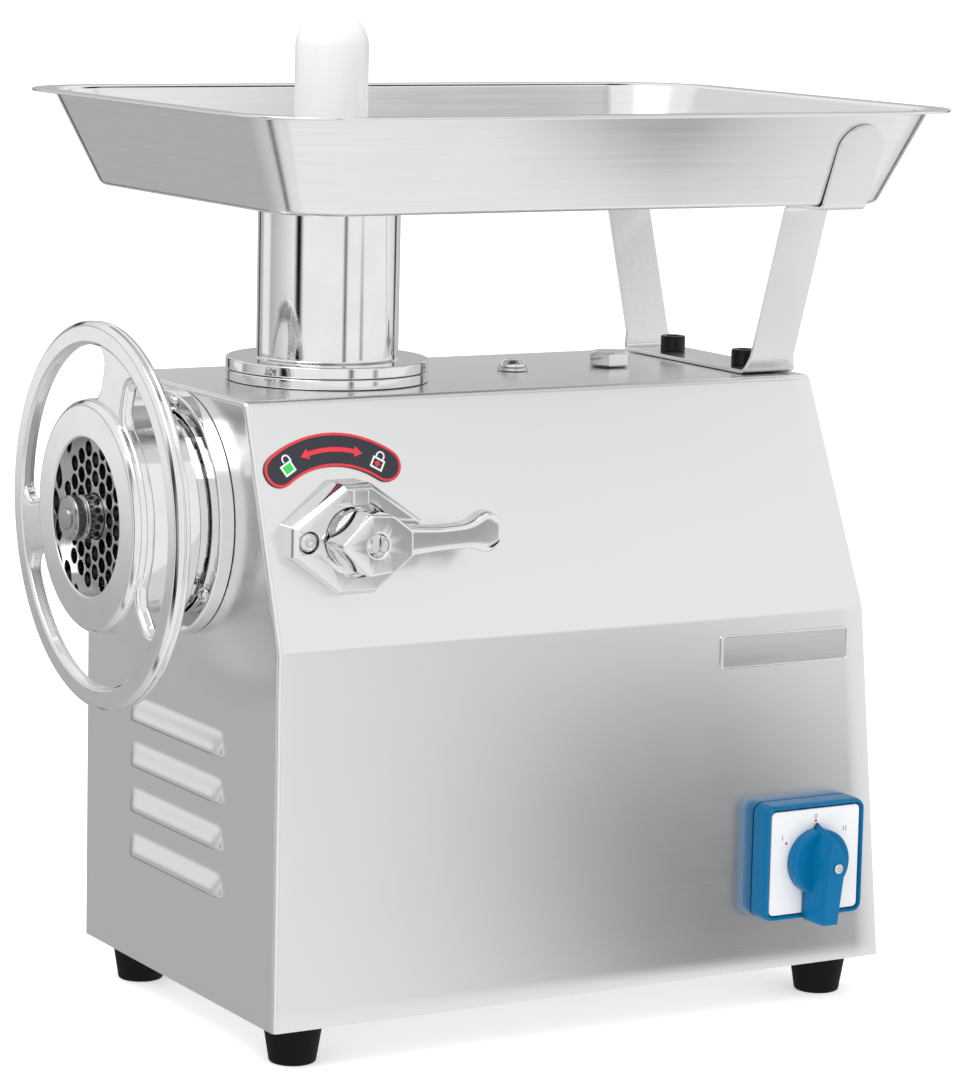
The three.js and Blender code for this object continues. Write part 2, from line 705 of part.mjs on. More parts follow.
/** The tray's rear support: a strip bolted to the lid, with two arms that cradle the tray. */
function trayBracket() {
  const wallRun = trayInset / trayDepth;
  const shelf = trayBottomHeight - gap - bracketSheet;
  const floorHalf = trayWidth / 2 - trayLip - trayInset;
  const offset = (2 * gap + bracketSheet) * Math.hypot(1, wallRun);
  const top = trayRim - bracketTopBelowLip;
  const bend = lidWidth / 2 - bracketBendFromLidEdge;
  const under = bend + 30;
  const outer = (z) => [floorHalf + offset + (z - trayBottomHeight) * wallRun, z];
  const right = [[bend, gap], [under, shelf], outer(shelf), outer(top)];
  const left = right.map(([x, z]) => [-x, z]).reverse();
  const strip = prism(ribbon([...left, ...right], bracketSheet), 'y', -bracketBaseWidth / 2, bracketBaseWidth / 2);
  const half = bracketWidth / 2;
  const profile = new THREE.Shape();
  profile.moveTo(-bracketBaseWidth / 2, -1);
  profile.lineTo(bracketBaseWidth / 2, -1);
  profile.lineTo(bracketBaseWidth / 2, bracketSheet + 2);
  profile.lineTo(half, bracketSheet + 6);
  profile.absarc(0, top - half, half, 0, Math.PI);
  profile.lineTo(-half, bracketSheet + 6);
  profile.lineTo(-bracketBaseWidth / 2, bracketSheet + 2);
  const trimmed = common(strip, prism(profile, 'x', -trayWidth, trayWidth, 6));
  const holes = [-bracketScrewPlace, bracketScrewPlace].map((x) => (
    bar('z', boltRadius + screwAir, -1, bracketSheet + 2, 14).translate(x, 0, 0)));
  return cut(trimmed, ...holes);
}

const feed = groupAt(grinder, 0, tubeCentre, housingHeight);
place(feed, 'lid_ring', ring('z', tubeRadius + runningGap, flangeRadius, gap, gap + lidRingThickness, 36), polishedSteel);
place(feed, 'feed_tube', feedTube(), polishedSteel);
place(feed, 'tray', tray(), brushedSteel);
place(feed, 'pusher', pusher(), whitePlastic);
place(lid, 'tray_bracket', trayBracket(), brushedSteel, 0, bracketPlace);
place(lid, 'bracket_screw_left', socketScrew(8), blackOxide, -bracketScrewPlace, bracketPlace, bracketSheet + gap);
place(lid, 'bracket_screw_right', socketScrew(8), blackOxide, bracketScrewPlace, bracketPlace, bracketSheet + gap);

// ---- Head: collar, seat, barrel, auger, knife, plate and ring nut ---------------------------

/** The polished collar on the front panel, which guides the barrel. */
function frontCollar() {
  const bore = barrelRadius + runningGap;
  const body = turned([[bore, -collarDepth], [collarRadius - 1.5, -collarDepth], [collarRadius, -collarDepth + 1.5],
    [collarRadius, -gap], [bore, -gap]], 'y', 40);
  const holes = collarScrewPlaces().map(([x, z]) => bar('y', 2.2, -collarDepth - 1, 1, 10).translate(x, 0, z));
  return cut(body, ...holes);
}

function collarScrewPlaces() {
  const radius = collarRadius - collarWidth / 2;
  return [-38, 82, 202].map((angle) => {
    const turnBy = THREE.MathUtils.degToRad(angle);
    return [radius * Math.cos(turnBy), radius * Math.sin(turnBy)];
  });
}

function collarScrew() {
  return turned([[0, -collarDepth - 2.6], [3, -collarDepth - 2.2], [3.8, -collarDepth - gap], [1.9, -collarDepth - gap],
    [1.9, -gap], [0, -gap]], 'y', 12);
}

/** The tube inside the housing that holds the barrel, open above for the feed and at the side for the clamp. */
function headSeat() {
  const inner = barrelRadius + runningGap;
  const wall = ring('y', inner, inner + seatWall, sheet + gap, seatRear, 40);
  const feedHole = bar('z', tubeRadius + runningGap, 0, 2 * barrelRadius, 32).translate(0, tubeCentre, 0);
  const pinHole = bar('x', spindleRadius + runningGap, barrelBore, 2 * barrelRadius, 20);
  return cut(wall, feedHole, pinHole.translate(0, clampPlace, -clampDrop));
}

/** The removable grinding barrel, with its mouth counterbored for the knife and the hole plate. */
function headBarrel() {
  const shaftBore = coreRadius - 3 + runningGap;
  const pocket = plateRadius + runningGap;
  const pocketEnd = knifeRear + gap;
  const body = turned([[pocket, barrelFront], [threadRadius - 1, barrelFront], [threadRadius, barrelFront + 1],
    [threadRadius, threadEnd], [barrelRadius, threadEnd + 2], [barrelRadius, barrelRear], [shaftBore, barrelRear],
    [shaftBore, augerRear + gap], [barrelBore, augerRear + gap], [barrelBore, pocketEnd], [pocket, pocketEnd]], 'y', 40);
  const mouth = bar('z', tubeRadius - tubeWall, 0, 2 * barrelRadius, 32).translate(0, tubeCentre, 0);
  return cut(body, mouth);
}

/** A strip wound round the y axis as a screw thread, between two radii. */
function flight(inner, outer, from, to, pitch, thickness, stepsPerTurn = 14) {
  const steps = Math.round(((to - from) / pitch) * stepsPerTurn);
  const corners = [[inner, -0.5], [outer, -0.28], [outer, 0.28], [inner, 0.5]];
  const positions = [];
  const triangles = [];
  for (let i = 0; i <= steps; i += 1) {
    const angle = (2 * Math.PI * i) / stepsPerTurn;
    const along = from + (pitch * i) / stepsPerTurn;
    for (const [radius, side] of corners) {
      positions.push(radius * Math.cos(angle), along + side * thickness, radius * Math.sin(angle));
    }
  }
  for (let i = 0; i < steps; i += 1) {
    for (let k = 0; k < 4; k += 1) {
      const [a, b] = [4 * i + k, 4 * i + ((k + 1) % 4)];
      triangles.push(a, b, a + 4, b, b + 4, a + 4);
    }
  }
  const last = 4 * steps;
  triangles.push(0, 2, 1, 0, 3, 2, last, last + 1, last + 2, last, last + 2, last + 3);
  const geometry = new THREE.BufferGeometry();
  geometry.setAttribute('position', new THREE.Float32BufferAttribute(positions, 3));
  geometry.setIndex(triangles);
  return outward(geometry);
}

/** A square bar along y, with its flats a given distance apart. */
function squareBar(across, from, to) {
  return box(-across / 2, across / 2, from, to, -across / 2, across / 2);
}

function auger() {
  const half = flightThickness / 2;
  const core = turned([[0, augerFront], [coreRadius + 3, augerFront], [coreRadius, augerFront + 30],
    [coreRadius - 1, augerRear - 6], [barrelBore - 4, augerRear - 5], [barrelBore - 4, augerRear],
    [coreRadius - 3, augerRear], [coreRadius - 3, barrelRear], [0, barrelRear]], 'y', 16);
  const thread = flight(coreRadius - 3, flightRadius, augerFront + half, augerRear - 6 - half, flightPitch, flightThickness, 12);
  const tang = squareBar(driveSquare, barrelRear - 1, barrelRear + tangLength);
  const drive = squareBar(driveSquare, plateRear + gap, augerFront + 1);
  const tip = plateFront - studReach;
  const stud = turned([[0, tip - 1.5], [studRadius / 2, tip - 1.5], [studRadius / 2, tip], [studRadius - 1.5, tip],
    [studRadius, tip + 1.5], [studRadius, tip + 5], [studRadius - 1, tip + 5.8], [studRadius - 1, tip + 6.8],
    [studRadius, tip + 7.6], [studRadius, plateRear + gap], [0, plateRear + gap]], 'y', 20);
  return joined(core, thread, tang, drive, stud);
}

/** A four-bladed knife with a square seat. */
function knife() {
  const blades = [];
  for (let i = 0; i < 4; i += 1) {
    const blade = prism([[0, -7], [knifeReach - 4, -8], [knifeReach, 2], [knifeReach - 4, 6], [12, 6], [0, 10]],
      'y', plateRear + gap, knifeRear - 1);
    blades.push(blade.rotateY((i * Math.PI) / 2));
  }
  const hub = bar('y', coreRadius, plateRear + gap, knifeRear, 20);
  return cut(joined(hub, ...blades), squareBar(driveSquare + 2 * gap, plateRear - 1, knifeRear + 1));
}

/** The centres of the hole plate's holes: a triangular grid between its hub and its edge. */
function plateHoles() {
  const rowRise = (platePitch * Math.sqrt(3)) / 2;
  const reach = nutOpening - plateHole + 1;
  const count = Math.ceil(reach / rowRise);
  const centres = [];
  for (let row = -count; row <= count; row += 1) {
    for (let step = -count - 1; step <= count + 1; step += 1) {
      const [x, z] = [row * rowRise, (step + Math.abs(row % 2) / 2) * platePitch];
      const radius = Math.hypot(x, z);
      if (radius > plateHub && radius < reach) centres.push([x, z]);
    }
  }
  return centres;
}

function holePlate() {
  const outline = new THREE.Shape().absarc(0, 0, plateRadius, 0, 2 * Math.PI);
  const hole = (x, z, radius) => new THREE.Path().absarc(x, z, radius, 0, 2 * Math.PI);
  outline.holes.push(hole(0, 0, studRadius + runningGap));
  const small = 7;
  for (const [x, z] of plateHoles()) {
    const points = Array.from({ length: small }, (_, i) => {
      const angle = (2 * Math.PI * i) / small;
      return new THREE.Vector2(x + plateHole * Math.cos(angle), z + plateHole * Math.sin(angle));
    });
    outline.holes.push(new THREE.Path(points));
  }
  return prism(outline, 'y', plateFront, plateRear, 14);
}

/** The ring nut and its handwheel: threaded sleeve, lip over the hole plate, three spokes and a rim. */
function ringNut() {
  const bore = threadRadius + runningGap;
  const sleeve = turned([[nutOpening, nutFront], [nutRadius - 2, nutFront], [nutRadius, nutFront + 2],
    [nutRadius, threadEnd], [bore, threadEnd], [bore, plateFront - gap], [nutOpening, plateFront - gap]], 'y', 36);
  const rimFront = nutFront + wheelSet;
  const inner = wheelRadius - wheelRimWidth;
  const rim = turned([[inner, rimFront + 1], [inner + 2, rimFront], [wheelRadius - 3, rimFront],
    [wheelRadius, rimFront + 2.5], [wheelRadius, rimFront + wheelRimDepth - 2], [wheelRadius - 3, rimFront + wheelRimDepth],
    [inner + 2, rimFront + wheelRimDepth - 1]], 'y', 36);
  const half = spokeWidth / 2;
  const [near, far] = [nutRadius - 3, inner + 4];
  const flare = half * 0.45;
  const outline = [[near, -half - flare], [near + 9, -half], [far - 9, -half], [far, -half - flare],
    [far, half + flare], [far - 9, half], [near + 9, half], [near, half + flare]];
  const spokes = Array.from({ length: spokeCount }, (_, i) => {
    const angle = THREE.MathUtils.degToRad(spokeAngle + (360 * i) / spokeCount);
    return prism(outline, 'y', rimFront + 1, rimFront + 1 + spokeDepth).rotateY(-angle);
  });
  return joined(sleeve, rim, ...spokes);
}

const head = groupAt(grinder, 0, 0, headAxis);
place(head, 'front_collar', frontCollar(), polishedSteel);
collarScrewPlaces().forEach(([x, z], i) => place(head, `collar_screw_${i + 1}`, collarScrew(), brushedSteel, x, 0, z));
place(head, 'head_seat', headSeat(), castAluminium);
place(head, 'head_barrel', headBarrel(), polishedSteel);
place(head, 'auger', auger(), polishedSteel);
place(head, 'knife', knife(), gearSteel);
place(head, 'hole_plate', holePlate(), brushedSteel);
place(head, 'ring_nut', ringNut(), polishedSteel);

// ---- Clamp: block, lever, spindle, stop pin and screws -----------------------------------------

const clamp = groupAt(grinder, 0, clampPlace, clampHeight);

/** A slab just outside the leaning side, in the clamp's frame, to trim what sits on it. */
function outsideSlope() {
  const foot = gap / Math.cos(slope);
  const at = (z) => slopeSurface(clampHeight + z) + foot;
  const reach = 2 * clampHalfHeight;
  return prism([[at(-reach), -reach], [housingWidth, -reach], [housingWidth, reach], [at(reach), reach]],
    'y', -housingLength, housingLength);
}

function clampBlock() {
  const [wide, tall] = [clampHalfWidth, clampHalfHeight];
  const outline = [[-wide, -7.5], [-10, -tall], [10, -tall], [wide, -7.5], [wide, 7.5], [7.5, tall], [-7.5, tall], [-wide, 7.5]];
  const bevel = 2.5;
  const block = prism(outline, 'x', 0, clampFace - bevel);
  const shrunk = outline.map(([y, z]) => [y * (1 - bevel / wide), z * (1 - bevel / tall)]);
  const body = common(joined(block, prism(shrunk, 'x', clampFace - bevel - 1, clampFace)), outsideSlope());
  return cut(
    body,
    bar('x', clampPocketRadius, clampFace - clampPocketDepth, clampFace + 1, 32),
    bar('x', spindleRadius + runningGap, 0, clampFace, 20),
    bar('x', stopPinRadius + gap, 0, clampFace + 1, 14).translate(0, 0, stopPinRise()),
    ...[-clampScrewPlace, clampScrewPlace].flatMap((y) => [
      bar('x', 5.5 + gap, clampFace - 2.5, clampFace + 1, 20).translate(0, y, 0),
      bar('x', 3 + screwAir, 0, clampFace, 14).translate(0, y, 0),
    ]),
  );
}

function stopPinRise() {
  return (clampPocketRadius + clampHalfHeight) / 2 - 1.5;
}

/** The lever: a diamond hub over the pocket, with a waisted arm that ends in a flared grip. */
function clampLever() {
  const hub = prism([[-20, 0], [-5, 15], [5, 15], [18, 5], [18, -5], [5, -15], [-5, -15]], 'x',
    leverFront - leverHubDepth, leverFront);
  const arm = prism([[10, -7.5], [34, -6], [52, -4.5], [58, -8], [65, -8], [69, 3], [65, 12], [60, 13], [52, 8.5],
    [34, 6.5], [10, 8]], 'x', leverFront - leverHubDepth / 2 - leverArmDepth / 2, leverFront - 3);
  const boss = bar('x', clampPocketRadius - 3, clampFace - clampPocketDepth + gap, leverFront - leverHubDepth + 1, 28);
  return cut(joined(hub, arm, boss), bar('x', 5.5, leverFront - 8, leverFront + 1, 20));
}

/** The spindle that the lever screws in, its tip just clear of the barrel. */
function clampSpindle() {
  const tip = Math.sqrt((barrelRadius + gap) ** 2 - clampDrop ** 2) + gap;
  const end = clampFace - clampPocketDepth - spindleStroke;
  return turned([[0, tip], [spindleRadius - 2, tip], [spindleRadius, tip + 3], [spindleRadius, end], [0, end]], 'x', 20);
}

function stopPin() {
  const from = slopeSurface(clampHeight + stopPinRise()) + 3;
  const top = leverFront - leverHubDepth - gap;
  return joined(bar('x', stopPinRadius, from, top, 14), box(clampFace + gap, top, -4.3, 4.3, -4, 3.5));
}

place(clamp, 'clamp_block', clampBlock(), polishedSteel);
place(clamp, 'clamp_screw_front', faceScrew(5.2, 14), brushedSteel, clampFace - gap, -clampScrewPlace);
place(clamp, 'clamp_screw_rear', faceScrew(5.2, 14), brushedSteel, clampFace - gap, clampScrewPlace);
place(clamp, 'clamp_stop_pin', stopPin(), polishedSteel, 0, 0, stopPinRise());
place(clamp, 'clamp_lever', clampLever(), polishedSteel);
place(clamp, 'clamp_spindle', clampSpindle(), gearSteel);

// ---- Lever label and nameplate -------------------------------------------------------------------

/** A curved plate on the leaning side, centred on the lever. */
function leverLabel() {
  const shape = new THREE.Shape();
  const half = THREE.MathUtils.degToRad(arcHalfAngle);
  const up = Math.PI / 2;
  const [inner, outer] = [arcRadius - arcHalfWidth, arcRadius + arcHalfWidth];
  const end = (angle) => [arcRadius * Math.cos(angle), arcRadius * Math.sin(angle)];
  shape.absarc(0, 0, outer, up - half, up + half, false);
  shape.absarc(...end(up + half), arcHalfWidth, up + half, up + half + Math.PI, false);
  shape.absarc(0, 0, inner, up + half, up - half, true);
  shape.absarc(...end(up - half), arcHalfWidth, up - half + Math.PI, up - half + 2 * Math.PI, false);
  return prism(shape, 'x', gap, gap + plateSheet, 10);
}

function nameplate() {
  const shape = roundedRectangle(-nameplateLength / 2, nameplateLength / 2, -nameplateHeight / 2, nameplateHeight / 2, 2);
  return prism(shape, 'x', gap, gap + plateSheet, 3);
}

const slopeFace = groupAt(grinder, housingWidth / 2, clampPlace, foldHeight, 0, -slope, 0);
place(slopeFace, 'lever_label', leverLabel(), darkPlastic, 0, -arcAheadOfLever, arcRise);
place(housing, 'nameplate', nameplate(), brushedSteel, housingWidth / 2, housingLength - nameplateFromRear,
  foldHeight - nameplateBelowFold);

// ---- Switch ---------------------------------------------------------------------------------------

const controls = groupAt(grinder, housingWidth / 2, housingLength - switchFromRear, switchHeight);

function switchFrame() {
  const half = switchSize / 2;
  const inner = switchPlateSize / 2 + gap;
  const bevel = 3;
  const back = prism(roundedRectangle(-half, half, -half, half, 5), 'x', gap, switchDepth - bevel, 3);
  const front = prism(roundedRectangle(bevel - half, half - bevel, bevel - half, half - bevel, 4), 'x',
    switchDepth - bevel - 0.5, switchDepth, 3);
  const pocket = prism(roundedRectangle(-inner, inner, -inner, inner, 3), 'x', switchDepth - switchPlateRecess - 2,
    switchDepth + 1, 3);
  return cut(joined(back, front), pocket, bar('x', 6, -1, switchDepth, 16));
}

function switchPlate() {
  const half = switchPlateSize / 2;
  const plate = prism(roundedRectangle(-half, half, -half, half, 3), 'x', switchDepth - switchPlateRecess - 2 + gap,
    switchDepth - switchPlateRecess, 3);
  return cut(plate, bar('x', 6, -1, switchDepth + 1, 16));
}

/** The contact block behind the panel. */
function switchBody() {
  const half = switchBodySize / 2;
  return box(-sheet - switchBodyDepth, -sheet - gap, -half, half, -half, half);
}

/** The knob: a round base and a tapered grip, longer below than above, on a square spindle. */
function switchKnob() {
  const base = switchDepth - switchPlateRecess + gap;
  const face = base + knobBaseDepth;
  const round = turned([[0, base], [knobRadius, base], [knobRadius, face - 1.5], [knobRadius - 1.5, face], [0, face]], 'x', 28);
  const wide = 7.5;
  const narrow = 4.5;
  const outline = [[-wide, -knobTail + 3], [-narrow, -knobTail], [narrow, -knobTail], [wide, -knobTail + 3], [wide, 10],
    [0, knobPointer], [-wide, 10]];
  const upper = outline.map(([y, z]) => [y * 0.62, z > 0 ? z * 0.7 : z]);
  const grip = joined(prism(outline, 'x', base + 1, face + 4), prism(upper, 'x', face + 3, base + knobDepth));
  const stem = bar('x', 4, gap, base + 1, 12);
  return cut(joined(round, grip, stem), bar('x', 3.2 + gap, base + knobDepth - 4, base + knobDepth + 1, 14));
}

place(controls, 'switch_frame', switchFrame(), bluePlastic);
place(controls, 'switch_plate', switchPlate(), whitePlastic);
place(controls, 'switch_body', switchBody(), darkPlastic);
place(controls, 'switch_knob', switchKnob(), bluePlastic);
place(controls, 'knob_screw', bar('x', 3.2 - gap / 2, switchDepth - switchPlateRecess + knobDepth - 3.4,
  switchDepth - switchPlateRecess + knobDepth - 1, 14), brushedSteel);

// ---- Drive: gearbox, motor and capacitor --------------------------------------------------------------

const drive = groupAt(grinder, 0, 0, headAxis);

/** A gear's outline with straight-flanked teeth, one of them centred on the given angle. */
function gearOutline(teeth, angle) {
  const pitchRadius = (gearModule * teeth) / 2;
  const [tip, root] = [pitchRadius + 0.85 * gearModule, pitchRadius - 1.15 * gearModule];
  const step = (2 * Math.PI) / teeth;
  const corners = [[root, -0.31], [tip, -0.12], [tip, 0.12], [root, 0.31]];
  return Array.from({ length: teeth }, (_, i) => corners.map(([radius, share]) => {
    const at = angle + (i + share) * step;
    return [radius * Math.cos(at), radius * Math.sin(at)];
  })).flat();
}

const firstStage = [coverFront - 22, coverFront - 6];
const secondStage = [caseFront + caseFrontWall + 2, caseFront + caseFrontWall + 20];
const toMiddle = Math.PI / 2;     // from the motor's pinion, and from the middle shaft to the output
const halfTooth = (teeth) => Math.PI / teeth;

function caseCircles(wall) {
  const around = (teeth) => (gearModule * teeth) / 2 + gearModule + gearClearance + wall;
  return [[0, 0, around(outputTeeth)], [0, -secondDistance, around(wheelTeeth)], [0, -shaftDistance, around(motorTeeth) + 6]];
}

function gearboxCase() {
  const [front, rear] = [caseFront, caseRear];
  const body = prism(hullOutline(caseCircles(caseWall)), 'y', front, rear);
  const inside = prism(hullOutline(caseCircles(0)), 'y', front + caseFrontWall, rear + 1);
  const footTop = -shaftDistance;
  const stand = box(-cradleWidth / 2, cradleWidth / 2, front, front + 20, baseThickness + gap - headAxis, footTop);
  return cut(
    joined(body, stand),
    inside,
    bar('y', outputShaftRadius + bearingWall + gap, front - 1, rear, 32),
    bar('y', 8.4, front + 5, rear, 16).translate(0, 0, -secondDistance),
  );
}

function gearboxCover() {
  const plate = prism(hullOutline(caseCircles(caseWall)), 'y', coverFront, coverRear);
  return cut(
    plate,
    bar('y', 12 + 10.3, coverFront - 1, coverRear - 2, 28),
    bar('y', 8.4, coverFront - 1, coverRear - 3, 16).translate(0, 0, -secondDistance),
    bar('y', motorShaftRadius + 2, coverFront - 1, coverRear + 1, 20).translate(0, 0, -shaftDistance),
  );
}

/** The output shaft, with a square socket in its front end for the auger's tang. */
function outputShaft() {
  const front = barrelRear + gap * 2;
  const socket = squareBar(driveSquare + 2 * gap, front - 1, barrelRear + tangLength + 2);
  const body = turned([[0, front], [outputShaftRadius, front], [outputShaftRadius, secondStage[1] + 2],
    [12, secondStage[1] + 3], [12, coverRear - 3], [0, coverRear - 3]], 'y', 24);
  return cut(body, socket);
}

function outputGear() {
  const outline = gearOutline(outputTeeth, -toMiddle + halfTooth(outputTeeth));
  return cut(prism(outline, 'y', ...secondStage), bar('y', outputShaftRadius + gap / 2, 0, coverRear, 24));
}

/** The two middle gears, cut on one shaft. */
function middleGears() {
  const large = prism(gearOutline(wheelTeeth, -toMiddle + halfTooth(wheelTeeth)), 'y', ...firstStage);
  const small = prism(gearOutline(pinionTeeth, toMiddle), 'y', ...secondStage);
  const shaft = bar('y', 8, caseFront + 6, coverRear - 4, 16);
  return joined(large, small, shaft);
}

function motorShaft() {
  const pinion = prism(gearOutline(motorTeeth, toMiddle), 'y', ...firstStage);
  const shaft = bar('y', motorShaftRadius, firstStage[0], statorRear + bellThickness + fanThickness + 6, 18);
  return joined(pinion, shaft);
}

function motorRotor() {
  const outer = motorRadius - statorWall - rotorAir;
  return ring('y', motorShaftRadius + gap / 2, outer, statorFront + 6, statorRear - 6, 20);
}

function motorStator() {
  return ring('y', motorRadius - statorWall, motorRadius, statorFront, statorRear, 28);
}

function motorBell() {
  const from = statorRear + gap;
  return turned([[motorShaftRadius + 1, from], [motorRadius, from], [motorRadius, from + 4], [motorRadius - 8, from + bellThickness],
    [motorShaftRadius + 1, from + bellThickness]], 'y', 24);
}

function motorFan() {
  const from = statorRear + gap + bellThickness + 2;
  const outer = motorRadius - 12;
  const blades = Array.from({ length: 6 }, (_, i) => (
    box(motorShaftRadius + 4, outer, from + 1, from + fanThickness, -1, 1).rotateY((i * Math.PI) / 3)));
  const hub = joined(bar('y', motorShaftRadius + 6, from, from + fanThickness, 20), bar('y', outer, from, from + 2, 24), ...blades);
  return cut(hub, bar('y', motorShaftRadius + gap / 2, from - 1, from + fanThickness + 1, 18));
}

/** The saddle that carries the motor on the base plate. */
function motorCradle() {
  const base = baseThickness + gap - motorAxis;
  const block = box(-cradleWidth / 2, cradleWidth / 2, statorFront + 10, statorRear - 10, base, -motorRadius * 0.6);
  return cut(block, bar('y', motorRadius + 2 * gap, statorFront, statorRear, 40));
}

place(drive, 'gearbox_case', gearboxCase(), castAluminium);
place(drive, 'gearbox_cover', gearboxCover(), castAluminium);
const shaftBore = outputShaftRadius + runningGap;
const bearingRadius = outputShaftRadius + bearingWall;
place(drive, 'shaft_seal', ring('y', shaftBore, bearingRadius, caseFront + gap, caseFront + 4, 24), blackRubber);
place(drive, 'output_bearing_front', ring('y', shaftBore, bearingRadius, caseFront + 4 + gap, caseFront + caseFrontWall - 1, 24),
  gearSteel);
place(drive, 'output_bearing_rear', ring('y', 12 + gap / 2, 22, coverFront + gap, coverRear - 2 - gap, 24), gearSteel);
place(drive, 'output_shaft', outputShaft(), gearSteel);
place(drive, 'output_gear', outputGear(), gearSteel);
place(drive, 'middle_gears', middleGears(), gearSteel, 0, 0, -secondDistance);
place(drive, 'motor_shaft', motorShaft(), gearSteel, 0, 0, -shaftDistance);
place(drive, 'motor_rotor', motorRotor(), gearSteel, 0, 0, -shaftDistance);
place(drive, 'motor_stator', motorStator(), copperWinding, 0, 0, -shaftDistance);
place(drive, 'motor_rear_bell', motorBell(), castAluminium, 0, 0, -shaftDistance);
place(drive, 'motor_fan', motorFan(), darkPlastic, 0, 0, -shaftDistance);
place(drive, 'motor_cradle', motorCradle(), castAluminium, 0, 0, -shaftDistance);
place(housing, 'run_capacitor', bar('y', capacitorRadius, 0, capacitorLength, 24), darkPlastic,
  -housingWidth / 2 + sheet + capacitorRadius + 8, statorFront + 10, baseThickness + capacitorRadius + 8);

// The finished group stands on the floor, centred over the origin.
const bounds = new THREE.Box3().setFromObject(grinder);
const middle = bounds.getCenter(new THREE.Vector3());
grinder.position.set(-middle.x, -middle.y, -bounds.min.z);

export default grinder;
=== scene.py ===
"""An electric meat grinder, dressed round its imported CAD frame.

Metres, +Z up. The outlet faces -Y and the controls are on the +X side. Sizes in the sections
are millimetres and become metres as a mesh is made.
"""

import bmesh
import bpy
import numpy as np
from mathutils import Matrix, Vector
from mathutils.geometry import delaunay_2d_cdt


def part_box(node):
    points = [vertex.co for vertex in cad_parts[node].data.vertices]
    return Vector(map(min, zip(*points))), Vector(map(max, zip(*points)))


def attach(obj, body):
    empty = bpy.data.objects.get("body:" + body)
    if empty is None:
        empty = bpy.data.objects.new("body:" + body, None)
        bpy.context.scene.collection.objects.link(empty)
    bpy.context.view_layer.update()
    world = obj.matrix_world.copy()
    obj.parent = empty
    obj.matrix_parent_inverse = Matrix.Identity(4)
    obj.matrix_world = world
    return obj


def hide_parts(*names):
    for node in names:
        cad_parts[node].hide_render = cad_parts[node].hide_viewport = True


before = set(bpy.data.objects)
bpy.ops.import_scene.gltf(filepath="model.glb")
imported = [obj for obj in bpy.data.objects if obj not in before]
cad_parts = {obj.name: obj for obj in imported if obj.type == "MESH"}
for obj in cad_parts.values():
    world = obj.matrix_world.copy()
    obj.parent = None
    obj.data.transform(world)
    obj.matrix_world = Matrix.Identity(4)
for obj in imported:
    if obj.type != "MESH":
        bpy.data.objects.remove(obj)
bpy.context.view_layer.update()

# ---- Studio --------------------------------------------------------------------------
# A white room with a pale floor. The light is a white surround that is dimmer low down on
# the -X side, with black, grey and nearly white boards for the polished steel to mirror.

view_azimuth, view_elevation, view_roll = np.radians([59.82, 9.006, 1.26])
target = np.array([0.0, -0.0056, 0.271])
distance, slide, rise = 2.0908, 0.0156, -0.0351

right = np.array([np.cos(view_azimuth), np.sin(view_azimuth), 0.0])
back = np.array(
    [
        np.sin(view_azimuth) * np.cos(view_elevation),
        -np.cos(view_azimuth) * np.cos(view_elevation),
        np.sin(view_elevation),
    ]
)
up = np.cross(back, right)
rolled_right = np.cos(view_roll) * right + np.sin(view_roll) * up
rolled_up = np.cross(back, rolled_right)
eye = target + back * distance + rolled_right * slide + rolled_up * rise

camera = bpy.data.objects.new("camera", bpy.data.cameras.new("camera"))
bpy.context.scene.collection.objects.link(camera)
camera.data.lens = 137.0
camera.data.sensor_width = 36.0
pose = np.eye(4)
pose[:3, 0], pose[:3, 1], pose[:3, 2], pose[:3, 3] = rolled_right, rolled_up, back, eye
camera.matrix_world = Matrix(pose.tolist())
bpy.context.scene.camera = camera
bpy.context.scene.view_settings.view_transform = "Standard"

WHITE = (1, 1, 1, 1)
CORNERS = ((-1, -1), (1, -1), (1, 1), (-1, 1))


def put(made, **values):
    """Sets a node's inputs by their names, with underscores for spaces."""
    for name, value in values.items():
        made.inputs[name.replace("_", " ")].default_value = value
    return made


def node(tree, kind, **values):
    return put(tree.nodes.new(kind), **values)


def map_range(tree, from_min, from_max, to_min, to_max):
    return node(tree, "ShaderNodeMapRange", From_Min=from_min, From_Max=from_max, To_Min=to_min, To_Max=to_max)


def wire(tree, *pairs):
    """Links the output to the input of each pair."""
    for source, sink in pairs:
        tree.links.new(source, sink)


world = bpy.data.worlds.new("studio_surround")
bpy.context.scene.world = world
world.use_nodes = True
sky = world.node_tree
sky.nodes.clear()
direction = node(sky, "ShaderNodeTexCoord")
split = node(sky, "ShaderNodeSeparateXYZ")
low_sides = map_range(sky, -0.75, 0.15, 0.50, 1.0)
overhead = map_range(sky, 0.12, 0.5, 0.0, 1.0)
blend_up = node(sky, "ShaderNodeMix", B=1.0)
surround = node(sky, "ShaderNodeBackground", Color=WHITE)
backdrop = node(sky, "ShaderNodeBackground", Color=WHITE, Strength=1.0)
is_camera = node(sky, "ShaderNodeLightPath")
either = node(sky, "ShaderNodeMixShader")
sky_out = node(sky, "ShaderNodeOutputWorld")
wire(
    sky,
    (direction.outputs["Generated"], split.inputs[0]),
    (split.outputs["X"], low_sides.inputs["Value"]),
    (split.outputs["Z"], overhead.inputs["Value"]),
    (overhead.outputs[0], blend_up.inputs["Factor"]),
    (low_sides.outputs[0], blend_up.inputs["A"]),
    (blend_up.outputs["Result"], surround.inputs["Strength"]),
    (is_camera.outputs["Is Camera Ray"], either.inputs[0]),
    (surround.outputs[0], either.inputs[1]),
    (backdrop.outputs[0], either.inputs[2]),
    (either.outputs[0], sky_out.inputs[0]),
)


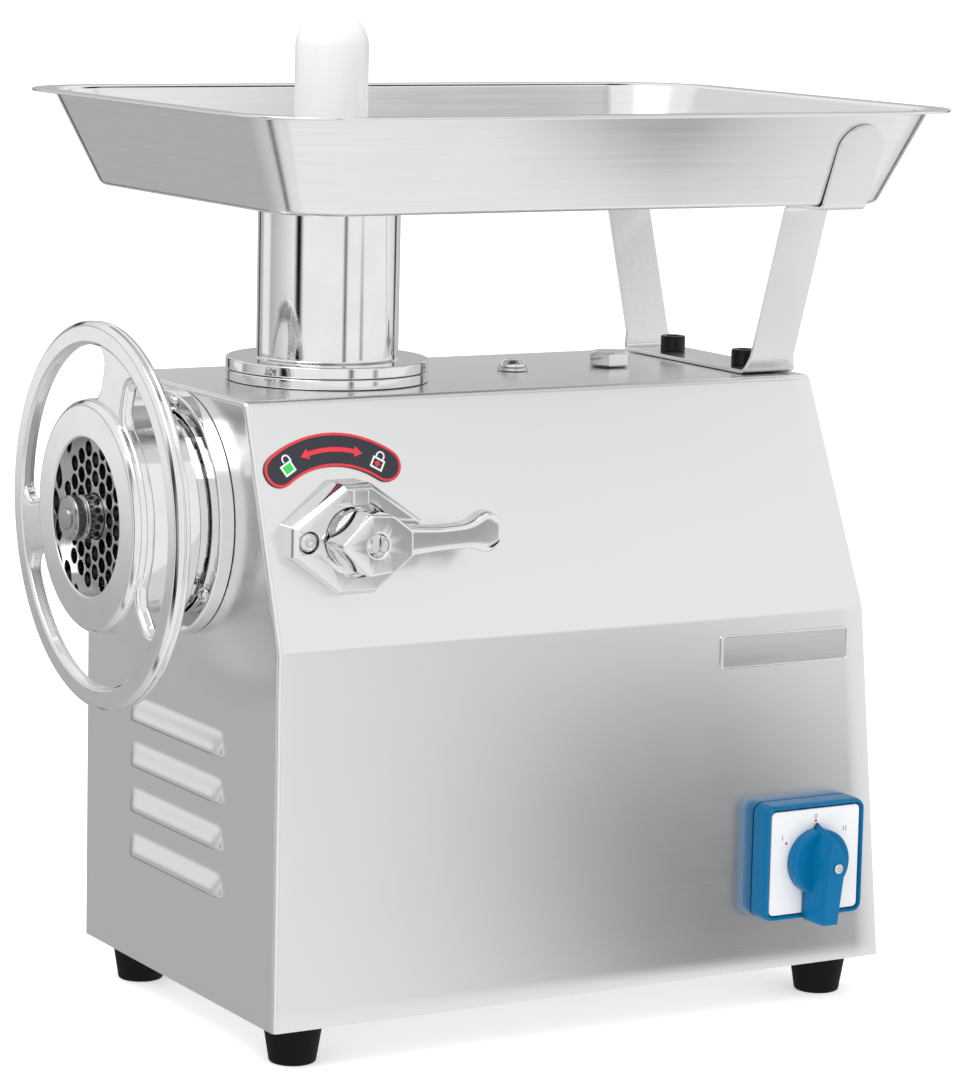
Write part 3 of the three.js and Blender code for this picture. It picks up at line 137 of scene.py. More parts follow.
def board(name, centre, facing, width, height, brightness, soft):
    """A card of the given size at centre, turned to face a direction. It is round, as an ellipse,
    and fades out over its soft share."""
    normal = np.array(facing, float) / np.linalg.norm(facing)
    across = np.cross([0.0, 0.0, 1.0], normal)
    across = across / np.linalg.norm(across)
    upward = np.cross(normal, across)
    corners = [
        np.array(centre) + across * width / 2 * i + upward * height / 2 * j
        for i, j in CORNERS
    ]
    mesh = bpy.data.meshes.new(name)
    mesh.from_pydata(corners, [], [(0, 1, 2, 3)])
    for corner, spot in zip(mesh.uv_layers.new().data, ((0, 0), (1, 0), (1, 1), (0, 1))):
        corner.uv = spot
    card = bpy.data.objects.new(name, mesh)
    bpy.context.scene.collection.objects.link(card)
    paint = bpy.data.materials.new(name)
    paint.use_nodes = True
    tree = paint.node_tree
    tree.nodes.clear()
    glow = node(tree, "ShaderNodeEmission", Color=(brightness,) * 3 + (1,))
    out = node(tree, "ShaderNodeOutputMaterial")
    clear = node(tree, "ShaderNodeBsdfTransparent")
    place = node(tree, "ShaderNodeTexCoord")
    offset = node(tree, "ShaderNodeVectorMath")
    offset.operation = "DISTANCE"
    offset.inputs[1].default_value = (0.5, 0.5, 0.0)
    edge = map_range(tree, 0.5, 0.5 - soft, 0.0, 1.0)
    blend = node(tree, "ShaderNodeMixShader")
    wire(
        tree,
        (place.outputs["UV"], offset.inputs[0]),
        (offset.outputs["Value"], edge.inputs["Value"]),
        (edge.outputs[0], blend.inputs[0]),
        (clear.outputs[0], blend.inputs[1]),
        (glow.outputs[0], blend.inputs[2]),
        (blend.outputs[0], out.inputs[0]),
    )
    mesh.materials.append(paint)
    card.visible_camera = False
    card.visible_diffuse = False
    card.visible_shadow = False
    return card


board("board_rear_right", (0.90, 0.61, -0.17), (0.0, -1.0, 0.0), 0.64, 0.48, 0.0, 0.25)
board("board_overhead", (-0.05, 0.70, 1.75), (0.0, -0.5, -0.85), 1.1, 0.7, 0.0, 0.15)
board("board_low_front", (-0.12, -0.80, -0.27), (0.1, 0.75, 0.65), 0.16, 0.8, 0.0, 0.4)
board("board_rear_mid", (1.42, 0.66, 0.10), (0.0, -1.0, 0.0), 0.5, 0.5, 0.42, 0.3)
board("board_rear_high", (1.05, 0.85, 1.25), (0.0, -1.0, -0.4), 1.1, 0.7, 0.42, 0.3)
board("board_bright_left", (-1.5, -1.05, 0.22), (1.0, 0.5, 0.0), 0.9, 0.62, 0.95, 0.2)
board("board_front", (0.33, -1.45, 0.1), (-0.22, 1.0, 0.0), 0.42, 3.4, 0.0, 0.35)
board("board_side", (1.6, -0.10, 0.2), (-1.0, 0.0, 0.0), 0.24, 3.4, 0.18, 0.4)
board("board_left", (-1.5, -0.2, 0.25), (1.0, 0.15, 0.0), 0.3, 3.0, 0.03, 0.3)
board("board_rear", (-0.5, 1.5, 0.4), (0.3, -1.0, 0.0), 0.35, 3.0, 0.03, 0.3)

key = bpy.data.objects.new("key_light", bpy.data.lights.new("key_light", "AREA"))
key.data.size = 1.6
key.data.energy = 22
key.location = (0.6, -1.2, 2.2)
key.rotation_euler = (np.radians(28), 0, np.radians(25))
bpy.context.scene.collection.objects.link(key)

floor_mesh = bpy.data.meshes.new("floor")
floor_half = 30.0
floor_mesh.from_pydata([(i * floor_half, j * floor_half, 0) for i, j in CORNERS], [], [(0, 1, 2, 3)])
floor = bpy.data.objects.new("floor", floor_mesh)
bpy.context.scene.collection.objects.link(floor)
pale = bpy.data.materials.new("pale_floor")
pale.use_nodes = True
put(
    pale.node_tree.nodes["Principled BSDF"],
    Base_Color=(0.97, 0.97, 0.97, 1), Emission_Color=WHITE, Emission_Strength=0.4, Roughness=0.9,
)
floor_mesh.materials.append(pale)
floor.visible_glossy = False

# ---- Housing -------------------------------------------------------------------------
# One folded sheet of satin stainless steel: upright sides, a soft fold, leaning sides and
# a flat lid, closed in front by a panel with four louvres pressed out of it.

MM = 0.001
fitting_gap = 0.3


def box_mm(name):
    """The low corner, the high corner and the middle of a node's box, in millimetres."""
    low, high = (np.array(corner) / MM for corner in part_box(name))
    return low, high, (low + high) / 2


shell_low, shell_high, _ = box_mm("housing_shell")
half_side, under_z, lid_z = shell_high[0], shell_low[2], shell_high[2]
panel_y = box_mm("front_collar")[1][1] + fitting_gap
axis_z = box_mm("ring_nut")[2][2]
tube_y = box_mm("feed_tube")[2][1]
clamp_y = box_mm("clamp_block")[2][1]
clamp_z = axis_z - 1.9
half_lid = 68.5
fold_up = 185.0
top_up = lid_z - under_z
housing_length = 352.3
rear_lean = np.arctan2(28.0, top_up)
side_slope = np.arctan2(half_side - half_lid, top_up - fold_up)
sheet = 1.5
louvre_half, louvre_tall, louvre_deep = 51.5, 13.0, 3.2
louvre_count, louvre_first, louvre_pitch = 4, 54.5, 23.4


def grid_faces(rows, columns, around=False, along=False):
    """The quads of a rows x columns grid of points; around joins its last column to its first."""
    r = np.arange(rows if along else rows - 1)[:, None]
    c = np.arange(columns if around else columns - 1)[None, :]
    r2, c2 = (r + 1) % rows, (c + 1) % columns
    quads = [r * columns + c, r * columns + c2, r2 * columns + c2, r2 * columns + c]
    return np.stack([q + 0 * r + 0 * c for q in quads], -1).reshape(-1, 4)


def surface(grid, around=False, along=False):
    """A (rows, columns, 3) grid of points as (points, quads)."""
    return grid.reshape(-1, 3), grid_faces(*grid.shape[:2], around, along)


def piece(name, *parts, closed=True, centre=None):
    """One object from parts of (points, faces) in millimetres, its seams and poles merged.

    Closed parts have their faces turned outwards; an open sheet's face away from centre.
    """
    form = bmesh.new()
    for points, faces in parts:
        mesh = bpy.data.meshes.new("part")
        mesh.from_pydata((np.asarray(points) * MM).tolist(), [], [list(f) for f in faces])
        part = bmesh.new()
        part.from_mesh(mesh)
        bmesh.ops.remove_doubles(part, verts=part.verts, dist=2e-6)
        bmesh.ops.dissolve_degenerate(part, edges=part.edges, dist=1e-7)
        bmesh.ops.recalc_face_normals(part, faces=part.faces)
        if not closed:
            part.normal_update()
            lean = sum((f.calc_center_median() / MM - centre).dot(f.normal) * f.calc_area() for f in part.faces)
            if lean < 0:
                bmesh.ops.reverse_faces(part, faces=part.faces)
        part.to_mesh(mesh)
        part.free()
        form.from_mesh(mesh)
        bpy.data.meshes.remove(mesh)
    result = bpy.data.meshes.new(name)
    form.to_mesh(result)
    form.free()
    result.polygons.foreach_set("use_smooth", np.ones(len(result.polygons), bool))
    obj = bpy.data.objects.new(name, result)
    bpy.context.scene.collection.objects.link(obj)
    return obj


def fitted(obj, material, body, slot, *nodes):
    """Gives a piece its finish and ties it to the frame. Its flats keep even normals up to
    their rounded edges."""
    obj.data.materials.append(material)
    even = obj.modifiers.new("even_normals", "WEIGHTED_NORMAL")
    even.weight = 100
    even.keep_sharp = True
    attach(obj, body)
    if nodes:
        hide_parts(*nodes)
    return obj


def new_material(name, **values):
    """A material, its node tree and its main shader, whose inputs are set by name."""
    material = bpy.data.materials.new(name)
    material.use_nodes = True
    tree = material.node_tree
    return material, tree, put(tree.nodes["Principled BSDF"], **values)


def ramp(tree, colour, down, up, start=0.0, end=1.0):
    """A ramp from the colour times down, at start, to the colour times up, at end."""
    made = node(tree, "ShaderNodeValToRGB")
    for element, position, share in zip(made.color_ramp.elements, (start, end), (down, up)):
        element.position = position
        element.color = tuple(min(1, c * share) for c in colour) + (1,)
    return made


def steel(name, colour, rough, grain, stretch, depth, anisotropy=0.0, cloud=0.03):
    """Steel with a grain: fine noise drawn out along the stretch's small numbers varies its
    colour, gloss and height, and a slow cloudy noise varies its gloss a little more."""
    material, tree, shader = new_material(name, Metallic=1.0, Anisotropic=anisotropy)
    place = node(tree, "ShaderNodeTexCoord")
    drawn = node(tree, "ShaderNodeMapping", Scale=stretch)
    fine = node(tree, "ShaderNodeTexNoise", Scale=1.0, Detail=4.0)
    slow = node(tree, "ShaderNodeTexNoise", Scale=14.0, Detail=3.0)
    tint = ramp(tree, colour, 1 - grain, 1 + grain, 0.3, 0.7)
    gloss = map_range(tree, 0.3, 0.7, rough * (1 - 3 * grain), rough * (1 + 3 * grain))
    clouds = map_range(tree, 0.3, 0.7, -cloud, cloud)
    total = node(tree, "ShaderNodeMath")
    relief = node(tree, "ShaderNodeBump", Strength=1.0, Distance=depth)
    wire(
        tree,
        (place.outputs["Object"], drawn.inputs["Vector"]),
        (drawn.outputs[0], fine.inputs["Vector"]),
        (place.outputs["Object"], slow.inputs["Vector"]),
        (fine.outputs[0], tint.inputs[0]),
        (fine.outputs[0], gloss.inputs["Value"]),
        (slow.outputs[0], clouds.inputs["Value"]),
        (gloss.outputs[0], total.inputs[0]),
        (clouds.outputs[0], total.inputs[1]),
        (tint.outputs["Color"], shader.inputs["Base Color"]),
        (total.outputs[0], shader.inputs["Roughness"]),
        (fine.outputs[0], relief.inputs["Height"]),
        (relief.outputs[0], shader.inputs["Normal"]),
    )
    if anisotropy:
        lay = node(tree, "ShaderNodeTangent")
        lay.direction_type = "RADIAL"
        lay.axis = "Z"
        wire(tree, (lay.outputs[0], shader.inputs["Tangent"]))
    return material


def moulded(name, colour, rough, pebble, depth, coat=0.0, glow=0.0, shine=0.5):
    """A moulded plastic or rubber: cloudy noise shifts its colour slightly and a fine pebble
    varies its gloss and height."""
    material, tree, shader = new_material(
        name, Coat_Weight=coat, Coat_Roughness=0.12, Specular_IOR_Level=shine,
        Subsurface_Weight=glow, Subsurface_Radius=(0.004, 0.004, 0.004),
    )
    place = node(tree, "ShaderNodeTexCoord")
    cloudy = node(tree, "ShaderNodeTexNoise", Scale=30.0)
    tint = ramp(tree, colour, 0.94, 1.05)
    fine = node(tree, "ShaderNodeTexNoise", Scale=pebble, Detail=3.0)
    gloss = map_range(tree, 0.0, 1.0, rough * 0.8, rough * 1.2)
    relief = node(tree, "ShaderNodeBump", Distance=depth)
    wire(
        tree,
        (place.outputs["Object"], cloudy.inputs["Vector"]),
        (place.outputs["Object"], fine.inputs["Vector"]),
        (cloudy.outputs[0], tint.inputs[0]),
        (tint.outputs["Color"], shader.inputs["Base Color"]),
        (fine.outputs[0], gloss.inputs["Value"]),
        (gloss.outputs[0], shader.inputs["Roughness"]),
        (fine.outputs[0], relief.inputs["Height"]),
        (relief.outputs[0], shader.inputs["Normal"]),
    )
    return material


satin_walls = steel("satin_walls", (0.80, 0.803, 0.806), 0.25, 0.007, (1.3, 1.3, 850), 2.5e-7, 0.3, 0.01)


def louvre_swell(x, up):
    """How far the pressed louvres stand out: full at a louvre's lower edge, easing to nothing
    above it, and falling away as a quarter ellipse at its ends."""
    ends = np.clip((louvre_half - np.abs(x)) / 10, 0, 1)
    ends = np.sqrt(1 - (1 - ends) ** 2)
    swell = np.zeros(np.broadcast(x, up).shape)
    for k in range(louvre_count):
        t = (up - louvre_first - k * louvre_pitch) / louvre_tall
        fade = np.clip((1 - t) / 0.92, 0, 1)
        swell += np.where(t >= 0, fade * fade * (3 - 2 * fade), 0) * ends
    return louvre_deep * swell


def louvre_rows():
    """Heights for a panel's rows: close together over each louvre, with a hair's step at its mouth."""
    one = np.concatenate([[-1.5, -0.35, -0.02, 0.0], np.linspace(1.2, louvre_tall, 10), [louvre_tall + 1.5]])
    rows = (louvre_first + np.arange(louvre_count)[:, None] * louvre_pitch + one).ravel()
    return rows


def pressed_sheet(half, ups, columns):
    """A panel whose rows are half wide at each height: (x, swell, up), and the quads to keep,
    those across a louvre's mouth being left out."""
    x = half[:, None] * columns[None, :]
    up = np.repeat(ups[:, None], len(columns), 1)
    swell = louvre_swell(x, up)
    quads = grid_faces(*x.shape)
    step = np.abs(swell.ravel()[quads[:, 0]] - swell.ravel()[quads[:, 3]])
    tall = np.abs(up.ravel()[quads[:, 0]] - up.ravel()[quads[:, 3]])
    return x, swell, up, quads[~((step > 0.6) & (tall < 0.05))]


fold_radius, lid_radius, front_radius = 7.0, 3.6, 2.6
fold_run = fold_radius * np.tan(side_slope / 2)
lid_run = lid_radius * np.tan((np.pi / 2 - side_slope) / 2)
low_rows = np.unique(np.concatenate([np.linspace(0, 50, 6), louvre_rows(),
    np.linspace(141, fold_up - fold_run, 9)]))
fold_turn = np.linspace(0, side_slope, 6)
lid_turn = np.linspace(side_slope, np.pi / 2, 8)
fold_centre = np.array([half_side - fold_radius, fold_up - fold_run])
lid_centre = np.array([half_lid - lid_run, top_up - lid_radius])
fold_arc = fold_centre + fold_radius * np.stack([np.cos(fold_turn), np.sin(fold_turn)], 1)
lid_arc = lid_centre + lid_radius * np.stack([np.cos(lid_turn), np.sin(lid_turn)], 1)
lean_line = fold_arc[-1] + np.linspace(0, 1, 26)[1:-1, None] * (lid_arc[0] - fold_arc[-1])
edge = np.concatenate([np.stack([np.full(len(low_rows), half_side), low_rows], 1)[:-1], fold_arc,
    lean_line, lid_arc])
edge_turn = np.concatenate([np.zeros(len(low_rows) - 1), fold_turn, np.full(24, side_slope), lid_turn])
edge_out = np.stack([np.cos(edge_turn), np.sin(edge_turn)], 1)
inner = edge - front_radius * edge_out
fine_ends = np.linspace(40, 52, 11) / (half_side - front_radius)
columns = np.unique(np.concatenate([np.linspace(-1, 1, 43), fine_ends, -fine_ends]))[::-1]

x, swell, up_rows, front_quads = pressed_sheet(inner[:, 0], inner[:, 1], columns)
front_points = np.stack([x, panel_y - swell, up_rows + under_z], -1).reshape(-1, 3)
mid = front_points[front_quads].mean(1)
front_quads = front_quads[np.hypot(mid[:, 0], mid[:, 2] - axis_z) > 55]

lid_x = columns[1:-1] * inner[-1, 0]
outline = np.concatenate([edge, np.stack([lid_x, np.full(len(lid_x), top_up)], 1), edge[::-1] * [-1, 1]])
outward = np.concatenate([edge_out, np.tile([0, 1], (len(lid_x), 1)), edge_out[::-1] * [-1, 1]])
bend = np.linspace(0, np.pi / 2, 7)[:, None, None]
corner = outline[None] - front_radius * (1 - np.sin(bend)) * outward[None]
corner_y = panel_y + front_radius * (1 - np.cos(bend[..., 0])) + 0 * corner[..., 0]
runs = np.unique(np.concatenate([np.linspace(0, 0.5, 34), np.linspace(0.5, 1, 14)]))[1:, None]
rear_y = panel_y + housing_length - outline[:, 1] * np.tan(rear_lean)
body_y = panel_y + front_radius + runs * (rear_y[None] - panel_y - front_radius)
wrap = np.concatenate([
    np.stack([corner[..., 0], corner_y, corner[..., 1] + under_z], -1),
    np.stack([np.tile(outline[:, 0], (len(runs), 1)), body_y,
    np.tile(outline[:, 1], (len(runs), 1)) + under_z], -1),
])
wrap_points, wrap_quads = surface(wrap)
mid = wrap_points[wrap_quads].mean(1)
over_tube = (np.hypot(mid[:, 0], mid[:, 1] - tube_y) < 43) & (mid[:, 2] > lid_z - 1)
over_clamp = (np.hypot(mid[:, 1] - clamp_y, mid[:, 2] - clamp_z) < 18) & (mid[:, 0] > 0)
wrap_quads = wrap_quads[~over_tube & ~over_clamp]

housing_middle = Vector((0, panel_y + housing_length / 2, under_z + 120))
shell = piece(
    "housing_shell_sheet",
    (np.concatenate([front_points, wrap_points]), np.concatenate([front_quads, wrap_quads + len(front_points)])),
    closed=False, centre=housing_middle,
)
thick = shell.modifiers.new("sheet", "SOLIDIFY")
thick.thickness = sheet * MM
thick.offset = -1
fitted(shell, satin_walls, "root", "brushed_steel", "housing_shell")

# ---- Shapes --------------------------------------------------------------------------
# Rounded outlines, turned forms and flat plates, which the rest is made of.


def arc_through(before, corner, after, radius, steps):
    """The points of the arc of that radius that touches both sides of a corner."""
    a, b = np.subtract(before, corner), np.subtract(after, corner)
    la, lb = np.linalg.norm(a), np.linalg.norm(b)
    a, b = a / la, b / lb
    half = np.arccos(np.clip(a @ b, -1, 1)) / 2
    if radius <= 0 or half > np.pi / 2 - 1e-4:
        return np.array([corner], float)
    run = min(radius / np.tan(half), 0.49 * la, 0.49 * lb)
    radius = run * np.tan(half)
    middle = corner + (a + b) / np.linalg.norm(a + b) * radius / np.sin(half)
    start, end = corner + a * run - middle, corner + b * run - middle
    span = np.arccos(np.clip(start @ end / radius**2, -1, 1))
    t = np.linspace(0, 1, steps + 1)[:, None]
    return middle + (np.sin((1 - t) * span) * start + np.sin(t * span) * end) / np.sin(span)


def eased(corners, radii, steps=5, closed=False):
    """A line through the corners with each corner rounded by its radius."""
    corners = [np.array(c, float) for c in corners]
    radii = radii if np.iterable(radii) else [radii] * len(corners)
    count = len(corners)
    points = []
    for k, (corner, radius) in enumerate(zip(corners, radii)):
        if not closed and k in (0, count - 1):
            points.append(corner[None])
        else:
            points.append(arc_through(corners[k - 1], corner, corners[(k + 1) % count], radius, steps))
    return np.concatenate(points)


AXES = {
    "x": np.array([[0, 1, 0], [0, 0, 1], [1, 0, 0]], float),
    "y": np.array([[1, 0, 0], [0, 0, 1], [0, -1, 0]], float),
    "z": np.array([[1, 0, 0], [0, 1, 0], [0, 0, 1]], float),
}


def turned(profile, centre, axis="z", sides=96, closed=False, shape=None):
    """A profile of (radius, height) points carried round an axis through centre:
    point = centre + radius (cos t across + sin t up) + height along. Height runs towards -Y
    for axis y. shape(t, k) multiplies the radius of profile point k."""
    across, upward, along = AXES[axis] if isinstance(axis, str) else axis
    t = np.arange(sides) * 2 * np.pi / sides
    profile = np.asarray(profile, float)
    radius = np.repeat(profile[:, :1], sides, 1)
    if shape:
        radius = radius * shape(t[None, :], np.arange(len(profile))[:, None])
    grid = np.asarray(centre) + radius[..., None] * (
        np.cos(t)[None, :, None] * across + np.sin(t)[None, :, None] * upward
    ) + profile[:, 1][:, None, None] * along
    return surface(grid, around=True, along=closed)


def inward(loop):
    """Each point's step into the metal on the loop's left, lengthened at corners so that the
    sides move evenly."""
    ahead = np.roll(loop, -1, 0) - loop
    ahead /= np.linalg.norm(ahead, axis=1)[:, None]
    before = np.roll(ahead, 1, 0)
    both = np.stack([-(ahead + before)[:, 1], (ahead + before)[:, 0]], 1)
    both /= np.linalg.norm(both, axis=1)[:, None]
    side = np.stack([-ahead[:, 1], ahead[:, 0]], 1)
    return both / np.maximum((both * side).sum(1), 0.3)[:, None]


def area(loop):
    return 0.5 * np.sum(loop[:, 0] * np.roll(loop[:, 1], -1) - loop[:, 1] * np.roll(loop[:, 0], -1))


def inside(places, loop):
    """Which places lie within a closed outline: those whose level line crosses it an odd number
    of times to one side."""
    (x, y), (x0, y0), (x1, y1) = places.T[:, :, None], loop.T[:, None, :], np.roll(loop, -1, 0).T[:, None, :]
    with np.errstate(divide="ignore", invalid="ignore"):
        crossing = ((y0 > y) != (y1 > y)) & (x < x0 + (y - y0) * (x1 - x0) / (y1 - y0))
    return crossing.sum(1) % 2 == 1


def plate(loops, levels, centre, axis="z", hole_share=1.0):
    """A flat plate with rounded rims. loops are closed outlines of (u, v) points, or functions
    that give one for an inset, the outside first and then its holes. levels are (inset, height)
    from back to front: at each, every outline has moved that far into the metal, a hole by its
    share of that. The two faces are filled between their loops."""
    across, upward, along = AXES[axis] if isinstance(axis, str) else axis
    points, quads, first, last, start = [], [], [], [], 0
    for k, loop in enumerate(loops):
        moved = loop if callable(loop) else None
        loop = np.asarray(moved(0) if moved else loop, float)
        turn = 1 if (area(loop) > 0) == (k == 0) else -1
        loop = loop[::turn]
        step = inward(loop) * (hole_share if k else 1.0)
        rings = [moved(inset)[::turn] if moved else loop + inset * step for inset, h in levels]
        rings = np.stack([np.concatenate([ring, np.full((len(loop), 1), h)], 1) for ring,
            (_, h) in zip(rings, levels)])
        points.append(rings.reshape(-1, 3))
        quads.append(grid_faces(len(levels), len(loop), around=True) + start)
        first.append(start + np.arange(len(loop)))
        last.append(start + (len(levels) - 1) * len(loop) + np.arange(len(loop)))
        start += len(levels) * len(loop)
    points = np.concatenate(points)
    faces = [tuple(q) for q in np.concatenate(quads)]
    for rim in (first, last):
        ids = np.concatenate(rim)
        edges, k = [], 0
        for ring in rim:
            n = len(ring)
            edges += [(k + i, k + (i + 1) % n) for i in range(n)]
            k += n
        _, _, fill, origin, _, _ = delaunay_2d_cdt([Vector(p) for p in points[ids, :2]], edges, [], 1, 1e-7)
        fill = ids[np.array([o[0] for o in origin])[np.array(fill)]]
        middles = points[fill, :2].mean(1)
        for ring in rim[1:]:
            fill, middles = (kept[~inside(middles, points[ring, :2])] for kept in (fill, middles))
        faces += [tuple(int(v) for v in f) for f in fill]
    u, v, h = points.T
    return np.asarray(centre) + u[:, None] * across + v[:, None] * upward + h[:, None] * along, faces


def rim(depth, round_back, round_front, steps=4):
    """A plate's levels: rounded at its back edge and its front edge, square where that is 0."""
    t = np.linspace(0, np.pi / 2, steps + 1)
    low = [(round_back * (1 - np.sin(a)), round_back * (1 - np.cos(a))) for a in t] if round_back else [(0, 0)]
    high = [(round_front * (1 - np.cos(a)), depth - round_front * (1 - np.sin(a)))
        for a in t] if round_front else [(0, depth)]
    return low + high


def circle(u, v, radius, count=32):
    t = np.arange(count) * 2 * np.pi / count
    return np.stack([u + radius * np.cos(t), v + radius * np.sin(t)], 1)


def with_ends(grid):
    """A grid closed by drawing one more row at each end to a point."""
    first, last = (row.mean(1, keepdims=True).repeat(grid.shape[1], 1) for row in (grid[:1], grid[-1:]))
    return np.concatenate([first, grid, last])


def flats(count):
    """How far out the side of a shape with that many flats lies, as a share of their radius."""
    return lambda t: 1 / np.cos((t + np.pi / count) % (2 * np.pi / count) - np.pi / count)


def shaped(rows, factor):
    """A shape for turned: factor(t) at the profile points that rows marks, round at the others."""
    return lambda t, k: np.where(rows[k], factor(t), 1.0)


hexagonal, squared_off = flats(6), flats(4)


def torx(t):
    """A six-lobed recess as a share of its mean radius."""
    return 1 + 0.13 * np.cos(6 * t)


# ---- Rear cover, base plate and cable gland ------------------------------------------
# The open back is shut by a flat plate of the same steel, louvred like the front and held
# by four screws. A black gland lets the mains lead through it.

rear_axes = np.array([[-1, 0, 0], [0, -np.sin(rear_lean), np.cos(rear_lean)],
    [0, np.cos(rear_lean), np.sin(rear_lean)]])
rear_foot = np.array([0, panel_y + housing_length, under_z])
cover_ups = np.unique(np.concatenate([np.linspace(2.4, 50, 5), louvre_rows(), np.linspace(145, 298.5, 16)]))
real_height = cover_ups * np.cos(rear_lean)
cover_half = np.minimum(half_side - 1.8, half_side - 1.8 - (real_height - fold_up) * np.tan(side_slope))
x, swell, ups, cover_quads = pressed_sheet(cover_half, cover_ups, columns)
pressed_out = (swell - fitting_gap)[..., None] * rear_axes[2]
cover_grid = rear_foot + x[..., None] * rear_axes[0] + ups[..., None] * rear_axes[1] + pressed_out
cover_sheet = 1.2
cover = piece("rear_cover_sheet", (cover_grid.reshape(-1, 3), cover_quads), closed=False, centre=housing_middle)
thick = cover.modifiers.new("sheet", "SOLIDIFY")
thick.thickness = cover_sheet * MM
thick.offset = -1
fitted(cover, satin_walls, "root", "brushed_steel", "rear_cover")

black_plastic = moulded("black_gland_plastic", (0.03, 0.032, 0.035), 0.45, 900, 2e-5)
gland_x = box_mm("cable_gland")[2][0]
gland_place = rear_foot + rear_axes[1] * 42 - rear_axes[0] * gland_x
dome = eased([(4.3, 6), (4.3, 13.6), (7, 13.8), (9.4, 9.2), (9.4, 8.0), (11.1, 8.0), (11.1, 0.3), (4.3, 0.3)],
             [0.3, 0.8, 1.5, 0.6, 0.2, 0.8, 0.4, 0.3], 3, closed=True)
gland_shape = shaped(dome[:, 0] > 9.9, hexagonal)
gland = piece("cable_gland_body", turned(dome, gland_place, rear_axes, 96, closed=True, shape=gland_shape))
fitted(gland, black_plastic, "root", "dark_plastic", "cable_gland")

# ---- Screws --------------------------------------------------------------------------
# Bright button screws hold the cover and the collar, black knurled cap screws the tray's
# bracket. Each head is a turned form whose recess is six-sided or six-lobed.

bright_screw = steel("bright_screw", (0.72, 0.72, 0.73), 0.16, 0.04, (400, 400, 400), 2e-6)


def button_head(radius, height, recess, depth, lobes, place, axis):
    """A domed head with a recess: the profile goes up the dome, over its lip and down the recess."""
    outer = eased([(0, 0), (radius, 0), (radius, 0.35 * height), (0.62 * radius, height), (recess, height)],
                  [0, 0.2, 0.5 * height, 0.6 * height, 0], 4)
    inside = np.array([(recess * 0.985, height - 0.12), (recess * 0.97, height - depth), (0, height - depth)])
    profile = np.concatenate([outer, inside])
    rows = np.arange(len(profile))
    in_recess = (rows >= len(outer) - 1) & (rows < len(profile) - 1)
    return turned(profile, place, axis, 72, shape=shaped(in_recess, lobes))


cover_screw_inset = 14.0
for k in range(4):
    name = f"rear_screw_{k + 1}"
    middle = box_mm(name)[2]
    up = cover_screw_inset if middle[2] < 150 else top_up / np.cos(rear_lean) - cover_screw_inset
    place = rear_foot + rear_axes[1] * up - rear_axes[0] * middle[0] + rear_axes[2] * fitting_gap
    screw = piece(name + "_head", button_head(4.0, 2.2, 1.5, 1.2, torx, place, rear_axes))
    fitted(screw, bright_screw, "root", "brushed_steel", name)

# ---- Feet ----------------------------------------------------------------------------
# Four tapered black rubber feet, each moulded round a stud that screws into the base plate.

foot_rubber = moulded("foot_rubber", (0.004, 0.004, 0.0045), 0.6, 1500, 4e-5, shine=0.12)
for name in ("front_left", "front_right", "rear_left", "rear_right"):
    middle = box_mm("foot_" + name)[2] * [1, 1, 0]
    profile = eased([(0, 0.6), (8.5, 0.6), (9.2, 0), (11.5, 0), (14.5, 18.6), (14.5, 20.7), (0, 20.7)],
                    [0, 0.4, 0.3, 1.6, 1.2, 0.6, 0], 5)
    foot = piece("rubber_foot_" + name, turned(profile, middle, "z", 72))
    fitted(foot, foot_rubber, "root", "black_rubber", "foot_" + name)

# ---- Head: collar, barrel, auger, hole plate -----------------------------------------
# A polished collar on the front panel guides the pull-out barrel. The auger's stud comes through
# the hole plate at the outlet.

mirror = steel("mirror_steel", (0.80, 0.805, 0.81), 0.085, 0.03, (60, 60, 60), 1.5e-6, cloud=0.02)
dull_steel = steel("dull_steel", (0.36, 0.363, 0.37), 0.2, 0.05, (200, 200, 200), 3e-6)
ground = steel("ground_steel", (0.62, 0.625, 0.63), 0.22, 0.05, (300, 300, 300), 4e-6)
head_place = np.array([0, panel_y, axis_z])
collar_profile = eased([(50.5, 0.3), (60.5, 0.3), (60.5, 7.2), (59.6, 8), (52.2, 8), (50.5, 6.6)],
    [0.2, 0.3, 1.1, 0.8, 1.0, 0.4], 5, closed=True)
collar = piece("collar_ring", turned(collar_profile, head_place, "y", 144, closed=True))
fitted(collar, mirror, "root", "polished_steel", "front_collar")
for k, angle in enumerate(np.radians([-38, 82, 202])):
    place = head_place + 55.5 * np.array([np.cos(angle), 0, np.sin(angle)]) + [0, -8.0, 0]
    screw = piece(f"collar_screw_{k + 1}_head", button_head(3.8, 2.3, 1.5, 1.3, torx, place, "y"))
    fitted(screw, bright_screw, "root", "brushed_steel", f"collar_screw_{k + 1}")

stud_profile = eased([(0, 62.2), (5.3, 62.2), (5.3, 60.7), (9.6, 60.7), (11, 59.3), (11, 56.2),
    (9.7, 55.2), (9.7, 54.1),
                      (11, 53.1), (11, 37), (0, 37)], [0, 0.8, 0.5, 0.9, 0.9, 0.6, 0.5, 0.5, 0.6, 0.3, 0], 4)
core_profile = eased([(0, 28.4), (18, 28.4), (15, -2), (14, -105), (27, -106), (27, -112), (12, -112),
    (12, -124), (0, -124)],
                     [0, 1, 2, 3, 1, 1, 1, 1, 0], 4)
t = np.linspace(0, 1, 400)[:, None]
turn, along = 2 * np.pi * t * 127.4 / 30, 26 - 127.4 * t
section = eased([(12, 2.5), (30.2, 1.4), (30.2, -1.4), (12, -2.5)], [0, 0.8, 0.8, 0], 3, closed=True)
blade = np.stack([section[:, 0] * np.cos(turn), -(along + section[:, 1]), section[:, 0] * np.sin(turn)], -1)
blade = with_ends(blade)
